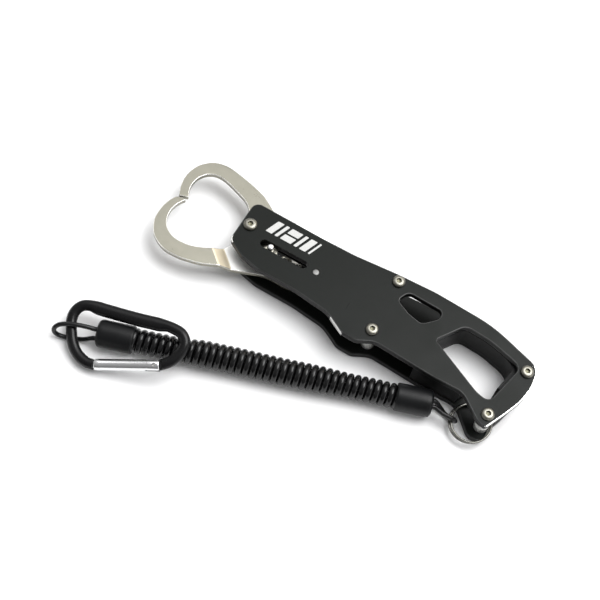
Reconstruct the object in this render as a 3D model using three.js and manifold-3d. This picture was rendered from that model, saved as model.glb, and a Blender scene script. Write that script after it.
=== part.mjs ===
// Lip grip for landing fish: two hooked jaws on one pivot, worked by a thumb trigger
// between two side plates, with a coiled lanyard and a small carabiner.
// Units are millimetres. +X runs from the jaws to the tail, +Z is the plate normal and
// the underside of the bottom plate is z = 0. Dimensions are laid out from the jaw pivot
// axis; the finished assembly is moved so that its origin is ORIGIN, a point on the flat
// underside near the middle of the grip.
import * as THREE from 'three';
import { mergeVertices, toCreasedNormals } from 'three/addons/utils/BufferGeometryUtils.js';
import Module from 'manifold-3d';

const wasm = await Module();
wasm.setup();

const DEG = Math.PI / 180;
const TURN = 2 * Math.PI;
const { smoothstep } = THREE.MathUtils;

// ---------------------------------------------------------------- driving dimensions
const ORIGIN = [38.0, -13.0];
const PLATE_T = 3.0;             // side plate thickness
const GAP = 11.0;                // clear distance between the side plates
const CHAMFER = 0.4;             // edge break on the side plates
const Z_TOP0 = PLATE_T + GAP;    // underside of the top plate
const Z_TOP1 = Z_TOP0 + PLATE_T; // upper face of the top plate

const JAW_T = 2.4;
const Z_LOWTAIL = 6.25;          // lower jaw tail layer
const Z_JAW = 8.95;              // upper jaw layer, also the layer of both hooks
const Z_TRIG = 11.55;            // trigger layer
const TRIG_T = 1.7;

const TRAVEL = 15.0;             // trigger stroke
const OPEN_UPPER = 18.0;         // swing of the upper jaw over the full stroke, degrees
const OPEN_LOWER = 13.0;         // swing of the lower jaw over the full stroke, degrees
const PIN = [12.9, -4.55];       // slide pin at rest
const PIN_R = 1.5;
const PIN_FIT = 0.02;            // radial clearance of the fixed pin holes
const SLOT_R = 1.6;              // half width of the cam slots and of the guide slot
const SLOT_PLAY = 0.15;          // extra run at each end of those slots
const GUIDE = [35.5, -5.0];      // guide pin
const POST = [56.0, GUIDE[1]];   // spring post on the trigger
const POST_R = 1.2;

const SLEEVE_R = 2.5;            // jaw pivot sleeve
const STAND_R = 3.0;             // standoff radius
const BORE_R = 1.55;             // bore through sleeve and standoffs
const SCREW_R = 1.5;
const SCREWS = {                 // x, y of the screw axes
  pivot: [0, 0],
  mid_upper: [68, 10],
  mid_lower: [68.8, -16.1],
  tail_lower: [127.4, -24.6],
  tail_upper: [133.5, 1.2],
};

// ---------------------------------------------------------------- finishes
const FINISHES = {
  plate: { color: 0x3a3c3a, roughness: 0.48, metalness: 0.55 },
  jaw: { color: 0xb4b0a4, roughness: 0.32, metalness: 1.0 },
  polished: { color: 0xe6e6e4, roughness: 0.12, metalness: 1.0 },
  steel: { color: 0xcfcfca, roughness: 0.25, metalness: 1.0 },
  nickel: { color: 0xc4c4c0, roughness: 0.2, metalness: 1.0 },
  cord: { color: 0x0b0b0c, roughness: 0.18, metalness: 0.0 },
  filler: { color: 0x17191a, roughness: 0.6, metalness: 0.0 },
  rubber: { color: 0x17181a, roughness: 0.55, metalness: 0.0 },
  carabiner: { color: 0x161718, roughness: 0.38, metalness: 0.4 },
  alu: { color: 0xd6d7d8, roughness: 0.22, metalness: 1.0 },
  spring: { color: 0x9d9c97, roughness: 0.3, metalness: 1.0 },
};
// crease angles in radians: edges bending more than this stay sharp
const CREASE = { machined: 0.55, gate: 0.6, forged: 0.7, wire: 1.2, cord: 1.3 };

// ---------------------------------------------------------------- solids and meshes
const group = new THREE.Group();
group.name = 'lip_grip';

function toSolid(geometry) {
  let welded = geometry.index ? geometry.toNonIndexed() : geometry.clone();
  for (const key of Object.keys(welded.attributes)) {
    if (key !== 'position') welded.deleteAttribute(key);
  }
  welded = mergeVertices(welded, 1e-4);
  const index = welded.index.array;
  const triangles = [];
  for (let i = 0; i < index.length; i += 3) {
    const [a, b, c] = index.slice(i, i + 3);
    if (a !== b && b !== c && a !== c) triangles.push(a, b, c);
  }
  return new wasm.Manifold(new wasm.Mesh({
    numProp: 3,
    vertProperties: new Float32Array(welded.attributes.position.array),
    triVerts: new Uint32Array(triangles),
  }));
}

function toGeometry(solid, crease = CREASE.machined) {
  const data = solid.getMesh();
  const geometry = new THREE.BufferGeometry();
  const positions = new Float32Array(data.vertProperties);
  geometry.setAttribute('position', new THREE.BufferAttribute(positions, 3));
  geometry.setIndex(new THREE.BufferAttribute(new Uint32Array(data.triVerts), 1));
  return toCreasedNormals(geometry, crease);
}

// shape is a solid or a closed geometry
function addPiece(name, shape, finish, crease) {
  const solid = shape.isBufferGeometry ? toSolid(shape) : shape;
  const material = new THREE.MeshStandardMaterial(FINISHES[finish]);
  material.name = finish;
  const mesh = new THREE.Mesh(toGeometry(solid, crease), material);
  mesh.name = name;
  group.add(mesh);
}

// ---------------------------------------------------------------- outlines
const point2 = (x, y) => new THREE.Vector2(x, y);
const point3 = (x, y, z) => new THREE.Vector3(x, y, z);
const onCircle = (x, y, radius, angle) =>
  point2(x + radius * Math.cos(angle), y + radius * Math.sin(angle));

// closed polygon with rounded corners: corners are [x, y, radius], stepDeg the arc step
function rounded(corners, stepDeg) {
  const out = [];
  const count = corners.length;
  const cornerAt = (i) => point2(corners[i % count][0], corners[i % count][1]);
  for (let i = 0; i < count; i++) {
    const corner = cornerAt(i);
    const toPrev = cornerAt(i + count - 1).sub(corner);
    const toNext = cornerAt(i + 1).sub(corner);
    const longest = 0.48 * Math.min(toPrev.length(), toNext.length());
    toPrev.normalize();
    toNext.normalize();
    const angle = Math.acos(Math.min(1, Math.max(-1, toPrev.dot(toNext))));
    let radius = corners[i][2];
    if (radius < 1e-6 || Math.PI - angle < 0.02) {
      out.push(corner);
      continue;
    }
    // where the sides are too short for the radius, the radius shrinks to fit
    let setback = radius / Math.tan(angle / 2);
    if (setback > longest) {
      setback = longest;
      radius = setback * Math.tan(angle / 2);
    }
    const start = corner.clone().addScaledVector(toPrev, setback);
    const end = corner.clone().addScaledVector(toNext, setback);
    const bisector = toPrev.clone().add(toNext).normalize();
    const centre = corner.clone().addScaledVector(bisector, radius / Math.sin(angle / 2));
    const startAngle = Math.atan2(start.y - centre.y, start.x - centre.x);
    let sweep = Math.atan2(end.y - centre.y, end.x - centre.x) - startAngle;
    while (sweep > Math.PI) sweep -= TURN;
    while (sweep < -Math.PI) sweep += TURN;
    const steps = Math.max(2, Math.ceil(Math.abs(sweep) * 180 / Math.PI / stepDeg));
    for (let j = 0; j <= steps; j++) {
      out.push(onCircle(centre.x, centre.y, radius, startAngle + sweep * j / steps));
    }
  }
  return out;
}

const EASE = {
  step: 0.3,        // spacing of the resampled points
  spread: 1.9,      // smoothing length
  pinCore: 1,       // distance from a pin within which nothing moves
  pinFade: 3,       // further distance over which smoothing sets in
  tolerance: 0.025, // points closer than this to a chord are dropped
};

// evens out a closed outline; points near a pin [x, y] stay sharp
function eased(outline, pins) {
  let points = [];
  let carry = 0;
  outline.forEach((from, i) => {
    const to = outline[(i + 1) % outline.length];
    const length = from.distanceTo(to);
    for (let t = carry; t < length; t += EASE.step) {
      points.push(from.clone().lerp(to, t / length));
      carry = t + EASE.step - length;
    }
  });
  const count = points.length;
  const weights = points.map((point) => {
    const free = pins.map(([x, y]) =>
      (Math.hypot(point.x - x, point.y - y) - EASE.pinCore) / EASE.pinFade);
    return 0.5 * Math.max(0, Math.min(1, ...free));
  });
  const passes = EASE.spread * EASE.spread / (0.5 * EASE.step * EASE.step);
  for (let pass = 0; pass < passes; pass++) {
    points = points.map(({ x, y }, i) => {
      const prev = points[(i + count - 1) % count];
      const next = points[(i + 1) % count];
      return point2(
        x + weights[i] * ((prev.x + next.x) / 2 - x),
        y + weights[i] * ((prev.y + next.y) / 2 - y),
      );
    });
  }
  // keep only the points that carry the shape
  const keep = new Array(count).fill(false);
  const split = (first, last) => {
    const a = points[first];
    const b = points[last % count];
    const chord = Math.hypot(b.x - a.x, b.y - a.y);
    let farthest = 0;
    let pick = -1;
    for (let i = first + 1; i < last; i++) {
      const { x, y } = points[i];
      const off = Math.abs((b.x - a.x) * (y - a.y) - (b.y - a.y) * (x - a.x)) / chord;
      if (off > farthest) {
        farthest = off;
        pick = i;
      }
    }
    if (farthest > EASE.tolerance) {
      keep[pick] = true;
      split(first, pick);
      split(pick, last);
    }
  };
  const half = Math.floor(count / 2);
  keep[0] = true;
  keep[half] = true;
  split(0, half);
  split(half, count);
  return points.filter((point, i) => keep[i]);
}

const circle = (x, y, radius, segments) => Array.from({ length: segments },
  (unused, i) => onCircle(x, y, radius, TURN * (i + 0.5) / segments));

// slot with round ends along a centreline of [x, y]
function slotAround(line, radius, endSegments) {
  const last = line.length - 1;
  const angleAt = (i) => {
    const from = line[Math.max(0, i - 1)];
    const to = line[Math.min(last, i + 1)];
    return Math.atan2(to[1] - from[1], to[0] - from[0]);
  };
  const side = (turn) => line.map(([x, y], i) => onCircle(x, y, radius, angleAt(i) + turn));
  const end = ([x, y], startAngle) => Array.from({ length: endSegments - 1 },
    (unused, i) => onCircle(x, y, radius, startAngle + Math.PI * (i + 1) / endSegments));
  return [
    ...side(-Math.PI / 2),
    ...end(line[last], angleAt(last) - Math.PI / 2),
    ...side(Math.PI / 2).reverse(),
    ...end(line[0], angleAt(0) + Math.PI / 2),
  ];
}

// ---------------------------------------------------------------- basic solids
function extrude(outline, holes, z0, z1, bevel = 0) {
  const shape = new THREE.Shape(outline);
  for (const hole of holes) shape.holes.push(new THREE.Path(hole));
  const geometry = new THREE.ExtrudeGeometry(shape, {
    depth: z1 - z0 - 2 * bevel,
    bevelEnabled: bevel > 0,
    bevelThickness: bevel,
    bevelSize: bevel,
    bevelOffset: -bevel,
    bevelSegments: 1,
    steps: 1,
    curveSegments: 1,
  });
  return toSolid(geometry.translate(0, 0, z0 + bevel));
}

const box = (x0, x1, y0, y1, z0, z1) =>
  extrude([point2(x0, y0), point2(x1, y0), point2(x1, y1), point2(x0, y1)], [], z0, z1);

// geometry turned about the y axis; profiles are [radius, height], up the outside
const revolved = (profile, segments) =>
  new THREE.LatheGeometry(profile.map(([r, h]) => point2(r, h)), segments);

// solid of revolution about the z axis through (x, y)
const turned = (profile, segments, x, y) =>
  toSolid(revolved(profile, segments).rotateX(Math.PI / 2).translate(x, y, 0));

// solid of revolution about the x axis
const turnedX = (profile, segments) => toSolid(revolved(profile, segments).rotateZ(-Math.PI / 2));

const rod = (radius, z0, z1, x, y, segments) =>
  turned([[0, z0], [radius, z0], [radius, z1], [0, z1]], segments, x, y);

const tube = (inner, outer, z0, z1, x, y, segments) =>
  turned([[inner, z0], [outer, z0], [outer, z1], [inner, z1], [inner, z0]], segments, x, y);

// hexagonal tool for the screw sockets
function hexTool(z0, z1, x, y, angle) {
  const acrossFlats = 2.0;
  const outline = Array.from({ length: 6 },
    (unused, i) => onCircle(x, y, acrossFlats / Math.sqrt(3), angle + Math.PI / 3 * i));
  return extrude(outline, [], z0, z1);
}

// elliptical section with flat sides, for sweeping
function section(radiusX, radiusY, sides) {
  return new THREE.Shape(Array.from({ length: sides }, (unused, i) => {
    const angle = TURN * (i + 0.5) / sides;
    return point2(radiusX * Math.cos(angle), radiusY * Math.sin(angle));
  }));
}

// bar of constant section along a curve
function sweep(curve, shape, steps) {
  curve.arcLengthDivisions = steps * 4;
  return new THREE.ExtrudeGeometry(shape, {
    steps,
    bevelEnabled: false,
    extrudePath: curve,
    curveSegments: 1,
  });
}

const splineThrough = (points) => new THREE.CatmullRomCurve3(points, false, 'centripetal');

// curve from a function of u in 0..1
function curveOf(pointAt) {
  const curve = new THREE.Curve();
  curve.getPoint = pointAt;
  return curve;
}

// ---------------------------------------------------------------- side plates
// The plates share one outline except at the tail, where the lower one has a round corner
// and stands back from the edge of the upper one. All tables here are [x, y, corner radius].
const plateOutline = (tail) => rounded([
  [-4.15, 11.6, 3.8], [-4.0, -10.6, 3.4], [4.0, -15.0, 8], [13.5, -17.1, 12],
  [32, -17.2, 30], [48.5, -18.9, 14], [58.0, -24.0, 5.5], [65.2, -24.2, 5],
  [72.4, -20.3, 9], [100, -21.6, 30], [114.3, -21.2, 9], ...tail,
  [112, 13.2, 60], [84, 14.3, 60], [66, 13.4, 60], [46, 11.5, 60], [30, 11.2, 60],
], 15);
const TOP_OUTLINE = plateOutline([
  [125.4, -29.7, 5], [129.3, -30.0, 1.6], [133.1, -21.8, 25], [136.9, -12.6, 25],
  [138.4, -4.0, 20], [137.2, 5.6, 6.5],
]);
const LOW_OUTLINE = plateOutline([
  [124.6, -31.2, 5.4], [131.2, -31.0, 5.4], [131.4, -23.6, 20], [133.5, -17.8, 25],
  [135.3, -11.5, 25], [136.8, -4.0, 20], [136.6, 5.6, 6.5],
]);
const fingerHole = (tailCorners) => rounded([
  [94.0, -5.8, 1.4], [102.2, 6.6, 4.6], [114, 6.1, 30], [124.5, 3.5, 14], ...tailCorners,
  [119.3, -17.9, 12], [104, -10.6, 60],
], 16);
const TOP_HOLE = fingerHole([[130.2, 1.6, 3.6], [125.4, -19.1, 3.2]]);
const LOW_HOLE = fingerHole([[128.2, 1.0, 4.6], [124.2, -18.9, 3.2]]);
// opening in the top plate only
const CUTOUT = rounded([
  [71.6, 2.3, 2.2], [74.2, 7.9, 3.4], [90.6, 7.5, 2.4],
  [90.9, 3.6, 3], [85.4, -2.4, 3.4], [79.0, -1.1, 6],
], 18);
const PLATE_SLOT = { x0: 9.8, x1: 29.1, radius: 1.9 }; // straight slot for the slide pin
const COUNTERSINK = [[0, -0.5], [3.43, -0.5], [1.6, 1.33], [1.6, 4], [0, 4]];

function addPlates() {
  let bottom = extrude(LOW_OUTLINE, [LOW_HOLE], 0, PLATE_T, CHAMFER);
  let top = extrude(TOP_OUTLINE, [TOP_HOLE, CUTOUT], Z_TOP0, Z_TOP1, CHAMFER);
  for (const [x, y] of Object.values(SCREWS)) {
    top = top.subtract(rod(SCREW_R + 0.1, Z_TOP0 - 1, Z_TOP1 + 1, x, y, 16));
    bottom = bottom.subtract(turned(COUNTERSINK, 16, x, y));
  }
  const slotLine = [[PLATE_SLOT.x0, PIN[1]], [PLATE_SLOT.x1, PIN[1]]];
  const slot = extrude(slotAround(slotLine, PLATE_SLOT.radius, 8), [], -1, 20);
  const guideHole = rod(PIN_R + PIN_FIT, -1, 20, ...GUIDE, 24);
  addPiece('bottom_plate', bottom.subtract(slot).subtract(guideHole), 'plate');
  addPiece('top_plate', top.subtract(slot).subtract(guideHole), 'plate');
}

// ---------------------------------------------------------------- jaws
// path of the slide pin in a jaw that swings by the given angle over the stroke
function camSlot(swingDeg) {
  const count = 8;
  const line = [];
  for (let i = 0; i <= count; i++) {
    const stroke = -SLOT_PLAY + (TRAVEL + 2 * SLOT_PLAY) * i / count;
    const angle = swingDeg * DEG * stroke / TRAVEL;
    const x = PIN[0] + stroke;
    const y = PIN[1];
    line.push([
      x * Math.cos(angle) - y * Math.sin(angle),
      x * Math.sin(angle) + y * Math.cos(angle),
    ]);
  }
  return slotAround(line, SLOT_R, 7);
}
const PIVOT_HOLE = circle(...SCREWS.pivot, SLEEVE_R + 0.07, 26);

// corners are [x, y, radius]; the first and last are the two corners of the hook tip
const jawOutline = (corners) => eased(rounded(corners, 6), [corners[0], corners.at(-1)]);

const UPPER_JAW = jawOutline([
  [-35.8, -1.1, 0.4], [-38.2, 4.2, 8], [-38.9, 10.6, 8], [-36.9, 17.4, 7],
  [-31.8, 22.6, 8], [-24.8, 24.0, 9], [-13.5, 21.9, 14], [-3.4, 19.2, 16],
  [9.5, 11.0, 14], [20.0, 10.3, 14], [30.6, 9.2, 3.6], [33.1, 3.6, 3.4],
  [26.0, -1.6, 8], [17.6, -8.3, 3.6], [10.2, -9.6, 4], [5.0, -4.6, 5],
  [-1.2, -5.2, 4], [-4.2, -1.4, 3], [-3.4, 6.5, 5], [-8.5, 12.3, 8],
  [-18.2, 15.6, 14], [-24.6, 17.4, 7], [-30.4, 16.4, 6], [-33.7, 11.2, 6],
  [-34.2, 5.4, 8], [-31.7, 0.35, 0.4],
]);

const LOWER_JAW = jawOutline([
  [-31.7, -0.95, 0.4], [-34.2, -4.6, 6], [-35.1, -10.6, 7], [-32.6, -17.0, 6],
  [-26.6, -20.5, 6], [-18.6, -20.1, 12], [-9.2, -15.9, 14], [-3.6, -9.6, 6],
  [-4.6, -1.2, 4], [-2.6, 4.4, 3], [3.2, 4.8, 4], [9.5, -0.4, 6],
  [16.0, -0.9, 4], [27.4, -6.4, 5], [31.2, -9.8, 3.2], [29.2, -14.1, 2.8],
  [15.6, -13.9, 6], [10.6, -16.0, 8], [4.3, -18.6, 12], [-2.6, -21.4, 14],
  [-9.5, -25.0, 16], [-19.0, -27.4, 10], [-27.0, -27.7, 8], [-34.8, -24.0, 8],
  [-39.0, -16.6, 8], [-39.1, -8.6, 8], [-37.3, -2.9, 4], [-35.8, -1.45, 0.3],
]);
const BEND_FROM = point2(-9.3, -16.2); // two points on the bend line of the lower jaw
const BEND_TO = point2(-2.6, -22.0);
const WEB = 5.5;                       // run of the joggle across the bend line

function addUpperJaw() {
  const holes = [PIVOT_HOLE, camSlot(OPEN_UPPER)];
  addPiece('upper_jaw', extrude(UPPER_JAW, holes, Z_JAW, Z_JAW + JAW_T), 'jaw');
}

// hook in the upper jaw's layer, joggled down to its own layer at the tail
function addLowerJaw() {
  const far = 80;
  const along = BEND_TO.clone().sub(BEND_FROM).normalize();
  const across = point2(-along.y, along.x); // points to the tail side
  const at = (t, s) => BEND_FROM.clone().addScaledVector(along, t).addScaledVector(across, s);
  const layerPart = (z, holes, s0, s1) => {
    const strip = [at(-far, s0), at(far, s0), at(far, s1), at(-far, s1)];
    return extrude(LOWER_JAW, holes, z, z + JAW_T)
      .intersect(extrude(strip, [], z - 1, z + JAW_T + 1));
  };
  const hook = layerPart(Z_JAW, [], -90, 0);
  const tail = layerPart(Z_LOWTAIL, [PIVOT_HOLE, camSlot(-OPEN_LOWER)], WEB, 90);

  // sloped web: a parallelogram prism along the bend line, overlapping both layers a little
  const overlap = 0.001;
  const profile = [ // distance across the bend line, z
    [-overlap, Z_JAW], [WEB + overlap, Z_LOWTAIL],
    [WEB + overlap, Z_LOWTAIL + JAW_T], [-overlap, Z_JAW + JAW_T],
  ];
  const corners = [-far, far].flatMap((t) => profile.flatMap(([s, z]) => {
    const { x, y } = at(t, s);
    return [x, y, z];
  }));
  const prism = new THREE.BufferGeometry();
  prism.setAttribute('position', new THREE.Float32BufferAttribute(corners, 3));
  prism.setIndex([
    2, 1, 0, 3, 2, 0, 5, 6, 4, 6, 7, 4, 5, 4, 0, 1, 5, 0,
    6, 5, 1, 2, 6, 1, 7, 6, 2, 3, 7, 2, 4, 7, 3, 0, 4, 3,
  ]);
  const web = extrude(LOWER_JAW, [], Z_LOWTAIL - 1, Z_JAW + JAW_T + 1).intersect(toSolid(prism));
  addPiece('lower_jaw', hook.add(web).add(tail), 'jaw');
}

// ---------------------------------------------------------------- pivot, standoffs, filler
function addPivotAndStandoffs() {
  const inner = SLEEVE_R + 0.06;
  const outer = 4.0;
  const jawGap = 0.1;    // from a spacer to the jaw
  const plateGap = 0.08; // from a spacer to the plate
  const spacer = (z0, z1) => tube(inner, outer, z0, z1, ...SCREWS.pivot, 22);
  const sleeve = tube(BORE_R, SLEEVE_R, PLATE_T, Z_TOP0, ...SCREWS.pivot, 24);
  addPiece('pivot_sleeve', sleeve, 'steel');
  addPiece('pivot_spacer', spacer(Z_JAW + JAW_T + jawGap, Z_TOP0 - plateGap), 'steel');
  addPiece('pivot_spacer_lower', spacer(PLATE_T + plateGap, Z_LOWTAIL - jawGap), 'steel');
  for (const key of ['mid_upper', 'mid_lower', 'tail_lower', 'tail_upper']) {
    const standoff = tube(BORE_R, STAND_R, PLATE_T, Z_TOP0, ...SCREWS[key], 18);
    addPiece('standoff_' + key, standoff, 'steel');
  }
}

// filler between the plates round the finger hole; stops short of the reach of the split ring
function addBackSpacer() {
  const centre = point2(112, -8); // the plate outline shrinks towards this point
  const scale = point2(0.965, 0.95);
  const ringClearance = 14.4;
  const edge = LOW_OUTLINE.map((point) => point.clone().sub(centre).multiply(scale).add(centre));
  const filler = extrude(edge, [], PLATE_T + 0.04, Z_TOP0 - 0.04)
    .intersect(box(91.5, 140, -40, 40, 0, 20))
    .subtract(extrude(LOW_HOLE, [], 0, 20))
    .subtract(rod(ringClearance, 0, 20, ...SCREWS.tail_lower, 64))
    .subtract(rod(STAND_R + 0.12, 0, 20, ...SCREWS.tail_upper, 28))
    // the recess also frees the lower tail corner out to the edge
    .subtract(box(126, 145, -40, -12.5, 0, 20));
  const [largest] = filler.decompose().sort((a, b) => b.volume() - a.volume());
  addPiece('back_spacer', largest, 'filler');
}

// ---------------------------------------------------------------- screws
function buttonScrew(x, y, headR) {
  const headH = 1.65;
  const z = Z_TOP1;
  const profile = [
    [0, z - 5.8], [SCREW_R - 0.3, z - 5.8], [SCREW_R, z - 5.5], [SCREW_R, z],
    [headR, z], [headR, z + 0.35], [headR * 0.9, z + headH * 0.62],
    [headR * 0.7, z + headH * 0.88], [headR * 0.48, z + headH], [0, z + headH],
  ];
  return turned(profile, 16, x, y)
    .subtract(hexTool(z + 0.6, z + headH + 1, x, y, 0.3 + x * 0.01));
}

function sunkScrew(x, y) {
  const profile = [
    [0, 0.03], [2.78, 0.03], [2.78, 0.13], [SCREW_R, 1.41],
    [SCREW_R, 5.7], [SCREW_R - 0.3, 6.0], [0, 6.0],
  ];
  return turned(profile, 16, x, y).subtract(hexTool(-1, 1.1, x, y, 0.2 + x * 0.013));
}

function addScrews() {
  for (const [key, [x, y]] of Object.entries(SCREWS)) {
    addPiece('top_screw_' + key, buttonScrew(x, y, key === 'pivot' ? 3.05 : 2.85), 'steel');
    addPiece('bottom_screw_' + key, sunkScrew(x, y), 'steel');
  }
}

// ---------------------------------------------------------------- trigger and pins
const TRIGGER = rounded([ // x, y, corner radius
  [9.3, -5.0, 4.2], [9.6, -9.2, 3.6], [41.0, -9.1, 2.5], [44.5, -8.0, 3],
  [59.2, -8.0, 3.0], [59.2, -2.0, 3.0], [46.0, -2.0, 5], [39.5, 4.5, 6],
  [38.0, 11.2, 3], [31.9, 17.3, 12], [24.6, 22.7, 8], [19.0, 25.2, 3.0],
  [15.4, 17.8, 8], [15.0, 9.0, 6], [11.8, 1.5, 6],
], 11);

function addTrigger() {
  const [guideX, guideY] = GUIDE;
  const slotLine = [[guideX - TRAVEL - SLOT_PLAY, guideY], [guideX + SLOT_PLAY, guideY]];
  const holes = [
    slotAround(slotLine, SLOT_R, 8),
    circle(...PIN, PIN_R + PIN_FIT, 28),
    circle(...POST, POST_R + 0.02, 20),
  ];
  addPiece('trigger', extrude(TRIGGER, holes, Z_TRIG, Z_TRIG + TRIG_T, 0.3), 'polished');
}

function addPins() {
  addPiece('slide_pin', turned([
    [0, 0.35], [PIN_R - 0.25, 0.35], [PIN_R, 0.6], [PIN_R, Z_TOP1 - 0.3],
    [PIN_R * 0.88, Z_TOP1], [PIN_R * 0.6, Z_TOP1 + 0.25], [0, Z_TOP1 + 0.35],
  ], 22, ...PIN), 'polished');

  const washer = { inner: PIN_R + 0.03, outer: 3.4, edge: 0.12 };
  const z0 = Z_TRIG + TRIG_T + 0.04;
  const z1 = Z_TOP0 - 0.1;
  addPiece('slide_pin_washer', turned([
    [washer.inner, z0], [washer.outer - washer.edge, z0], [washer.outer, z0 + washer.edge],
    [washer.outer, z1 - washer.edge], [washer.outer - washer.edge, z1],
    [washer.inner, z1], [washer.inner, z0],
  ], 24, ...PIN), 'steel');

  addPiece('guide_pin', turned([
    [0, 0.05], [PIN_R - 0.2, 0.05], [PIN_R, 0.25], [PIN_R, Z_TOP1],
    [PIN_R * 0.8, Z_TOP1 + 0.22], [0, Z_TOP1 + 0.3],
  ], 24, ...GUIDE), 'steel');

  const postTop = Z_TRIG + TRIG_T - 0.1;
  addPiece('spring_post', turned([
    [0, 7.3], [1.9, 7.3], [1.9, 7.8], [POST_R, 8.0], [POST_R, postTop], [0, postTop],
  ], 20, ...POST), 'steel');
}

// closed coils between the guide pin and the post, one open hook round each
function addReturnSpring() {
  const wireR = 0.3;
  const coilR = 1.75;
  const z = 9.3;
  const x0 = 40.2; // ends of the coils
  const x1 = 51.4;
  const steps = 12 * 7; // turns times points in a turn
  const hook = ([x, y], pinR, startDeg, count) => {
    const radius = pinR + wireR + 0.08;
    return Array.from({ length: count + 1 }, (unused, i) => {
      const angle = (startDeg - 240 * i / count) * DEG;
      return point3(x + radius * Math.cos(angle), y + radius * Math.sin(angle), z);
    });
  };
  const coils = Array.from({ length: steps + 1 }, (unused, i) => {
    const angle = TURN * i / 7;
    const x = x0 + (x1 - x0) * i / steps;
    return point3(x, GUIDE[1] + coilR * Math.cos(angle), z + coilR * Math.sin(angle));
  });
  const points = [
    ...hook(GUIDE, PIN_R, -60, 10),
    point3(38.7, GUIDE[1] + 0.9, z),
    ...coils,
    point3(52.9, POST[1] + 0.9, z),
    ...hook(POST, POST_R, 120, 9),
  ];
  const spring = sweep(splineThrough(points), section(wireR, wireR, 4), points.length - 1);
  addPiece('return_spring', spring, 'spring', CREASE.wire);
}

// ---------------------------------------------------------------- split ring
const RING_R = 8.5;
const RING_WIRE = 0.5;
const RING_PITCH = 1.07;
const RING_SPLAY = 0.7;                  // sideways step between the two turns
const RING_ANGLE = 200 * DEG;            // direction from the tail standoff to the ring centre
const RING_OFFSET = 4.9;                 // distance between the two
const RING_C = onCircle(...SCREWS.tail_lower, RING_OFFSET, RING_ANGLE);
const RING_Z = PLATE_T + 0.25 + RING_WIRE; // centre of the lower turn

function addSplitRing() {
  const curve = curveOf((u) => {
    const turns = u * 1.97;
    const angle = 330 * DEG + TURN * turns;
    // flat for most of a turn, stepping up to the next turn over a short ramp
    const step = smoothstep(turns, 0.82, 1.12);
    return point3(
      RING_C.x + 0.94 * RING_SPLAY * step + RING_R * Math.cos(angle),
      RING_C.y + 0.33 * RING_SPLAY * step + RING_R * Math.sin(angle),
      RING_Z + RING_PITCH * step,
    );
  });
  const ring = sweep(curve, section(RING_WIRE, RING_WIRE, 6), 52);
  addPiece('split_ring', ring, 'nickel', CREASE.wire);
}

// ---------------------------------------------------------------- lanyard
const CORD_R = 1.45;
const COIL_R = 3.95;
const COIL_PITCH = 3.05;
const COIL_SWELL = 0.5;  // growth of the coil radius in the middle stretch
const COIL_BOW = 0.55;   // sideways bow of the row of turns
const LOOP_R = 1.0;      // cord of the end loops
const CAP_R = 6.05;
const CAP_L = 15.5;
const CAP_BORE = 5.55;
const CAP_DEPTH = 3.6;
const LANYARD_Z = 6.2;
const CLIP_CAP = point3(-22.83, -71.12, LANYARD_Z); // centres of the end caps
const RING_CAP = point3(98.1, -30.2, LANYARD_Z);

// horizontal direction a quarter turn counterclockwise from the given one, seen from above
const leftOf = (direction) => point3(-direction.y, direction.x, 0);
const AXIS = RING_CAP.clone().sub(CLIP_CAP).normalize();
const AXIS_BACK = AXIS.clone().negate();
const SIDE = leftOf(AXIS);

// toMouth points from the closed end to the mouth
function addEndCap(name, centre, toMouth) {
  const half = CAP_L / 2;
  const profile = [
    [0, -half], [CAP_R - 1.4, -half], [CAP_R - 0.35, -half + 0.6], [CAP_R, -half + 1.8],
    [CAP_R, half - 0.5], [CAP_R - 0.4, half], [CAP_BORE, half],
    [CAP_BORE, half - CAP_DEPTH], [0, half - CAP_DEPTH],
  ];
  const across = new THREE.Vector3().crossVectors(toMouth, SIDE);
  const frame = new THREE.Matrix4().makeBasis(SIDE, across, toMouth).setPosition(centre);
  const cap = revolved(profile, 24).rotateX(Math.PI / 2).applyMatrix4(frame);
  addPiece(name, cap, 'rubber');
}

function addCoilCord() {
  const start = CAP_L / 2 - CAP_DEPTH + CORD_R + 0.12;
  const end = CLIP_CAP.distanceTo(RING_CAP) - start;
  const turns = (end - start) / COIL_PITCH;
  const curve = curveOf((u) => {
    const angle = TURN * turns * u;
    const s = start + (end - start) * u; // distance from the clip end cap
    // the turns relax to a larger size past the carabiner, and the row bows to one side
    const swell = smoothstep(s, 30, 38) * (1 - smoothstep(s, 84, 100));
    const bow = smoothstep(s, 26, 38) * (1 - 0.6 * smoothstep(s, 50, 70))
      * (1 - smoothstep(s, 110, 118));
    const radius = COIL_R + COIL_SWELL * swell;
    const point = CLIP_CAP.clone().addScaledVector(AXIS, s)
      .addScaledVector(SIDE, COIL_BOW * bow + radius * Math.cos(angle));
    point.z -= radius * Math.sin(angle);
    return point;
  });
  const cord = sweep(curve, section(CORD_R, CORD_R, 5), Math.round(turns * 10));
  addPiece('coil_cord', cord, 'cord', CREASE.cord);
}

// where a loop leaves the closed end of its cap
const loopRoot = (cap, outward) => cap.clone().addScaledVector(outward, CAP_L / 2 + 0.1);

// Cord loop from a cap and back. first and last are [left offset, z] pairs at the cap, last
// running back towards it; turn is a list of [distance along heading, z, left offset].
function addCordLoop(name, { root, outward, heading, first, turn, last, steps }) {
  const clear = root.clone().addScaledVector(outward, 1.2);
  const atCap = (base, [left, z]) => base.clone().addScaledVector(leftOf(outward), left).setZ(z);
  const points = [
    atCap(root, first),
    atCap(clear, first),
    ...turn.map(([distance, z, left]) => root.clone().addScaledVector(heading, distance)
      .addScaledVector(leftOf(heading), left).setZ(z)),
    atCap(clear, last[0]),
    atCap(root, last[1]),
  ];
  const loop = sweep(splineThrough(points), section(LOOP_R, LOOP_R, 6), steps);
  addPiece(name, loop, 'cord', CREASE.cord);
}

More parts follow.
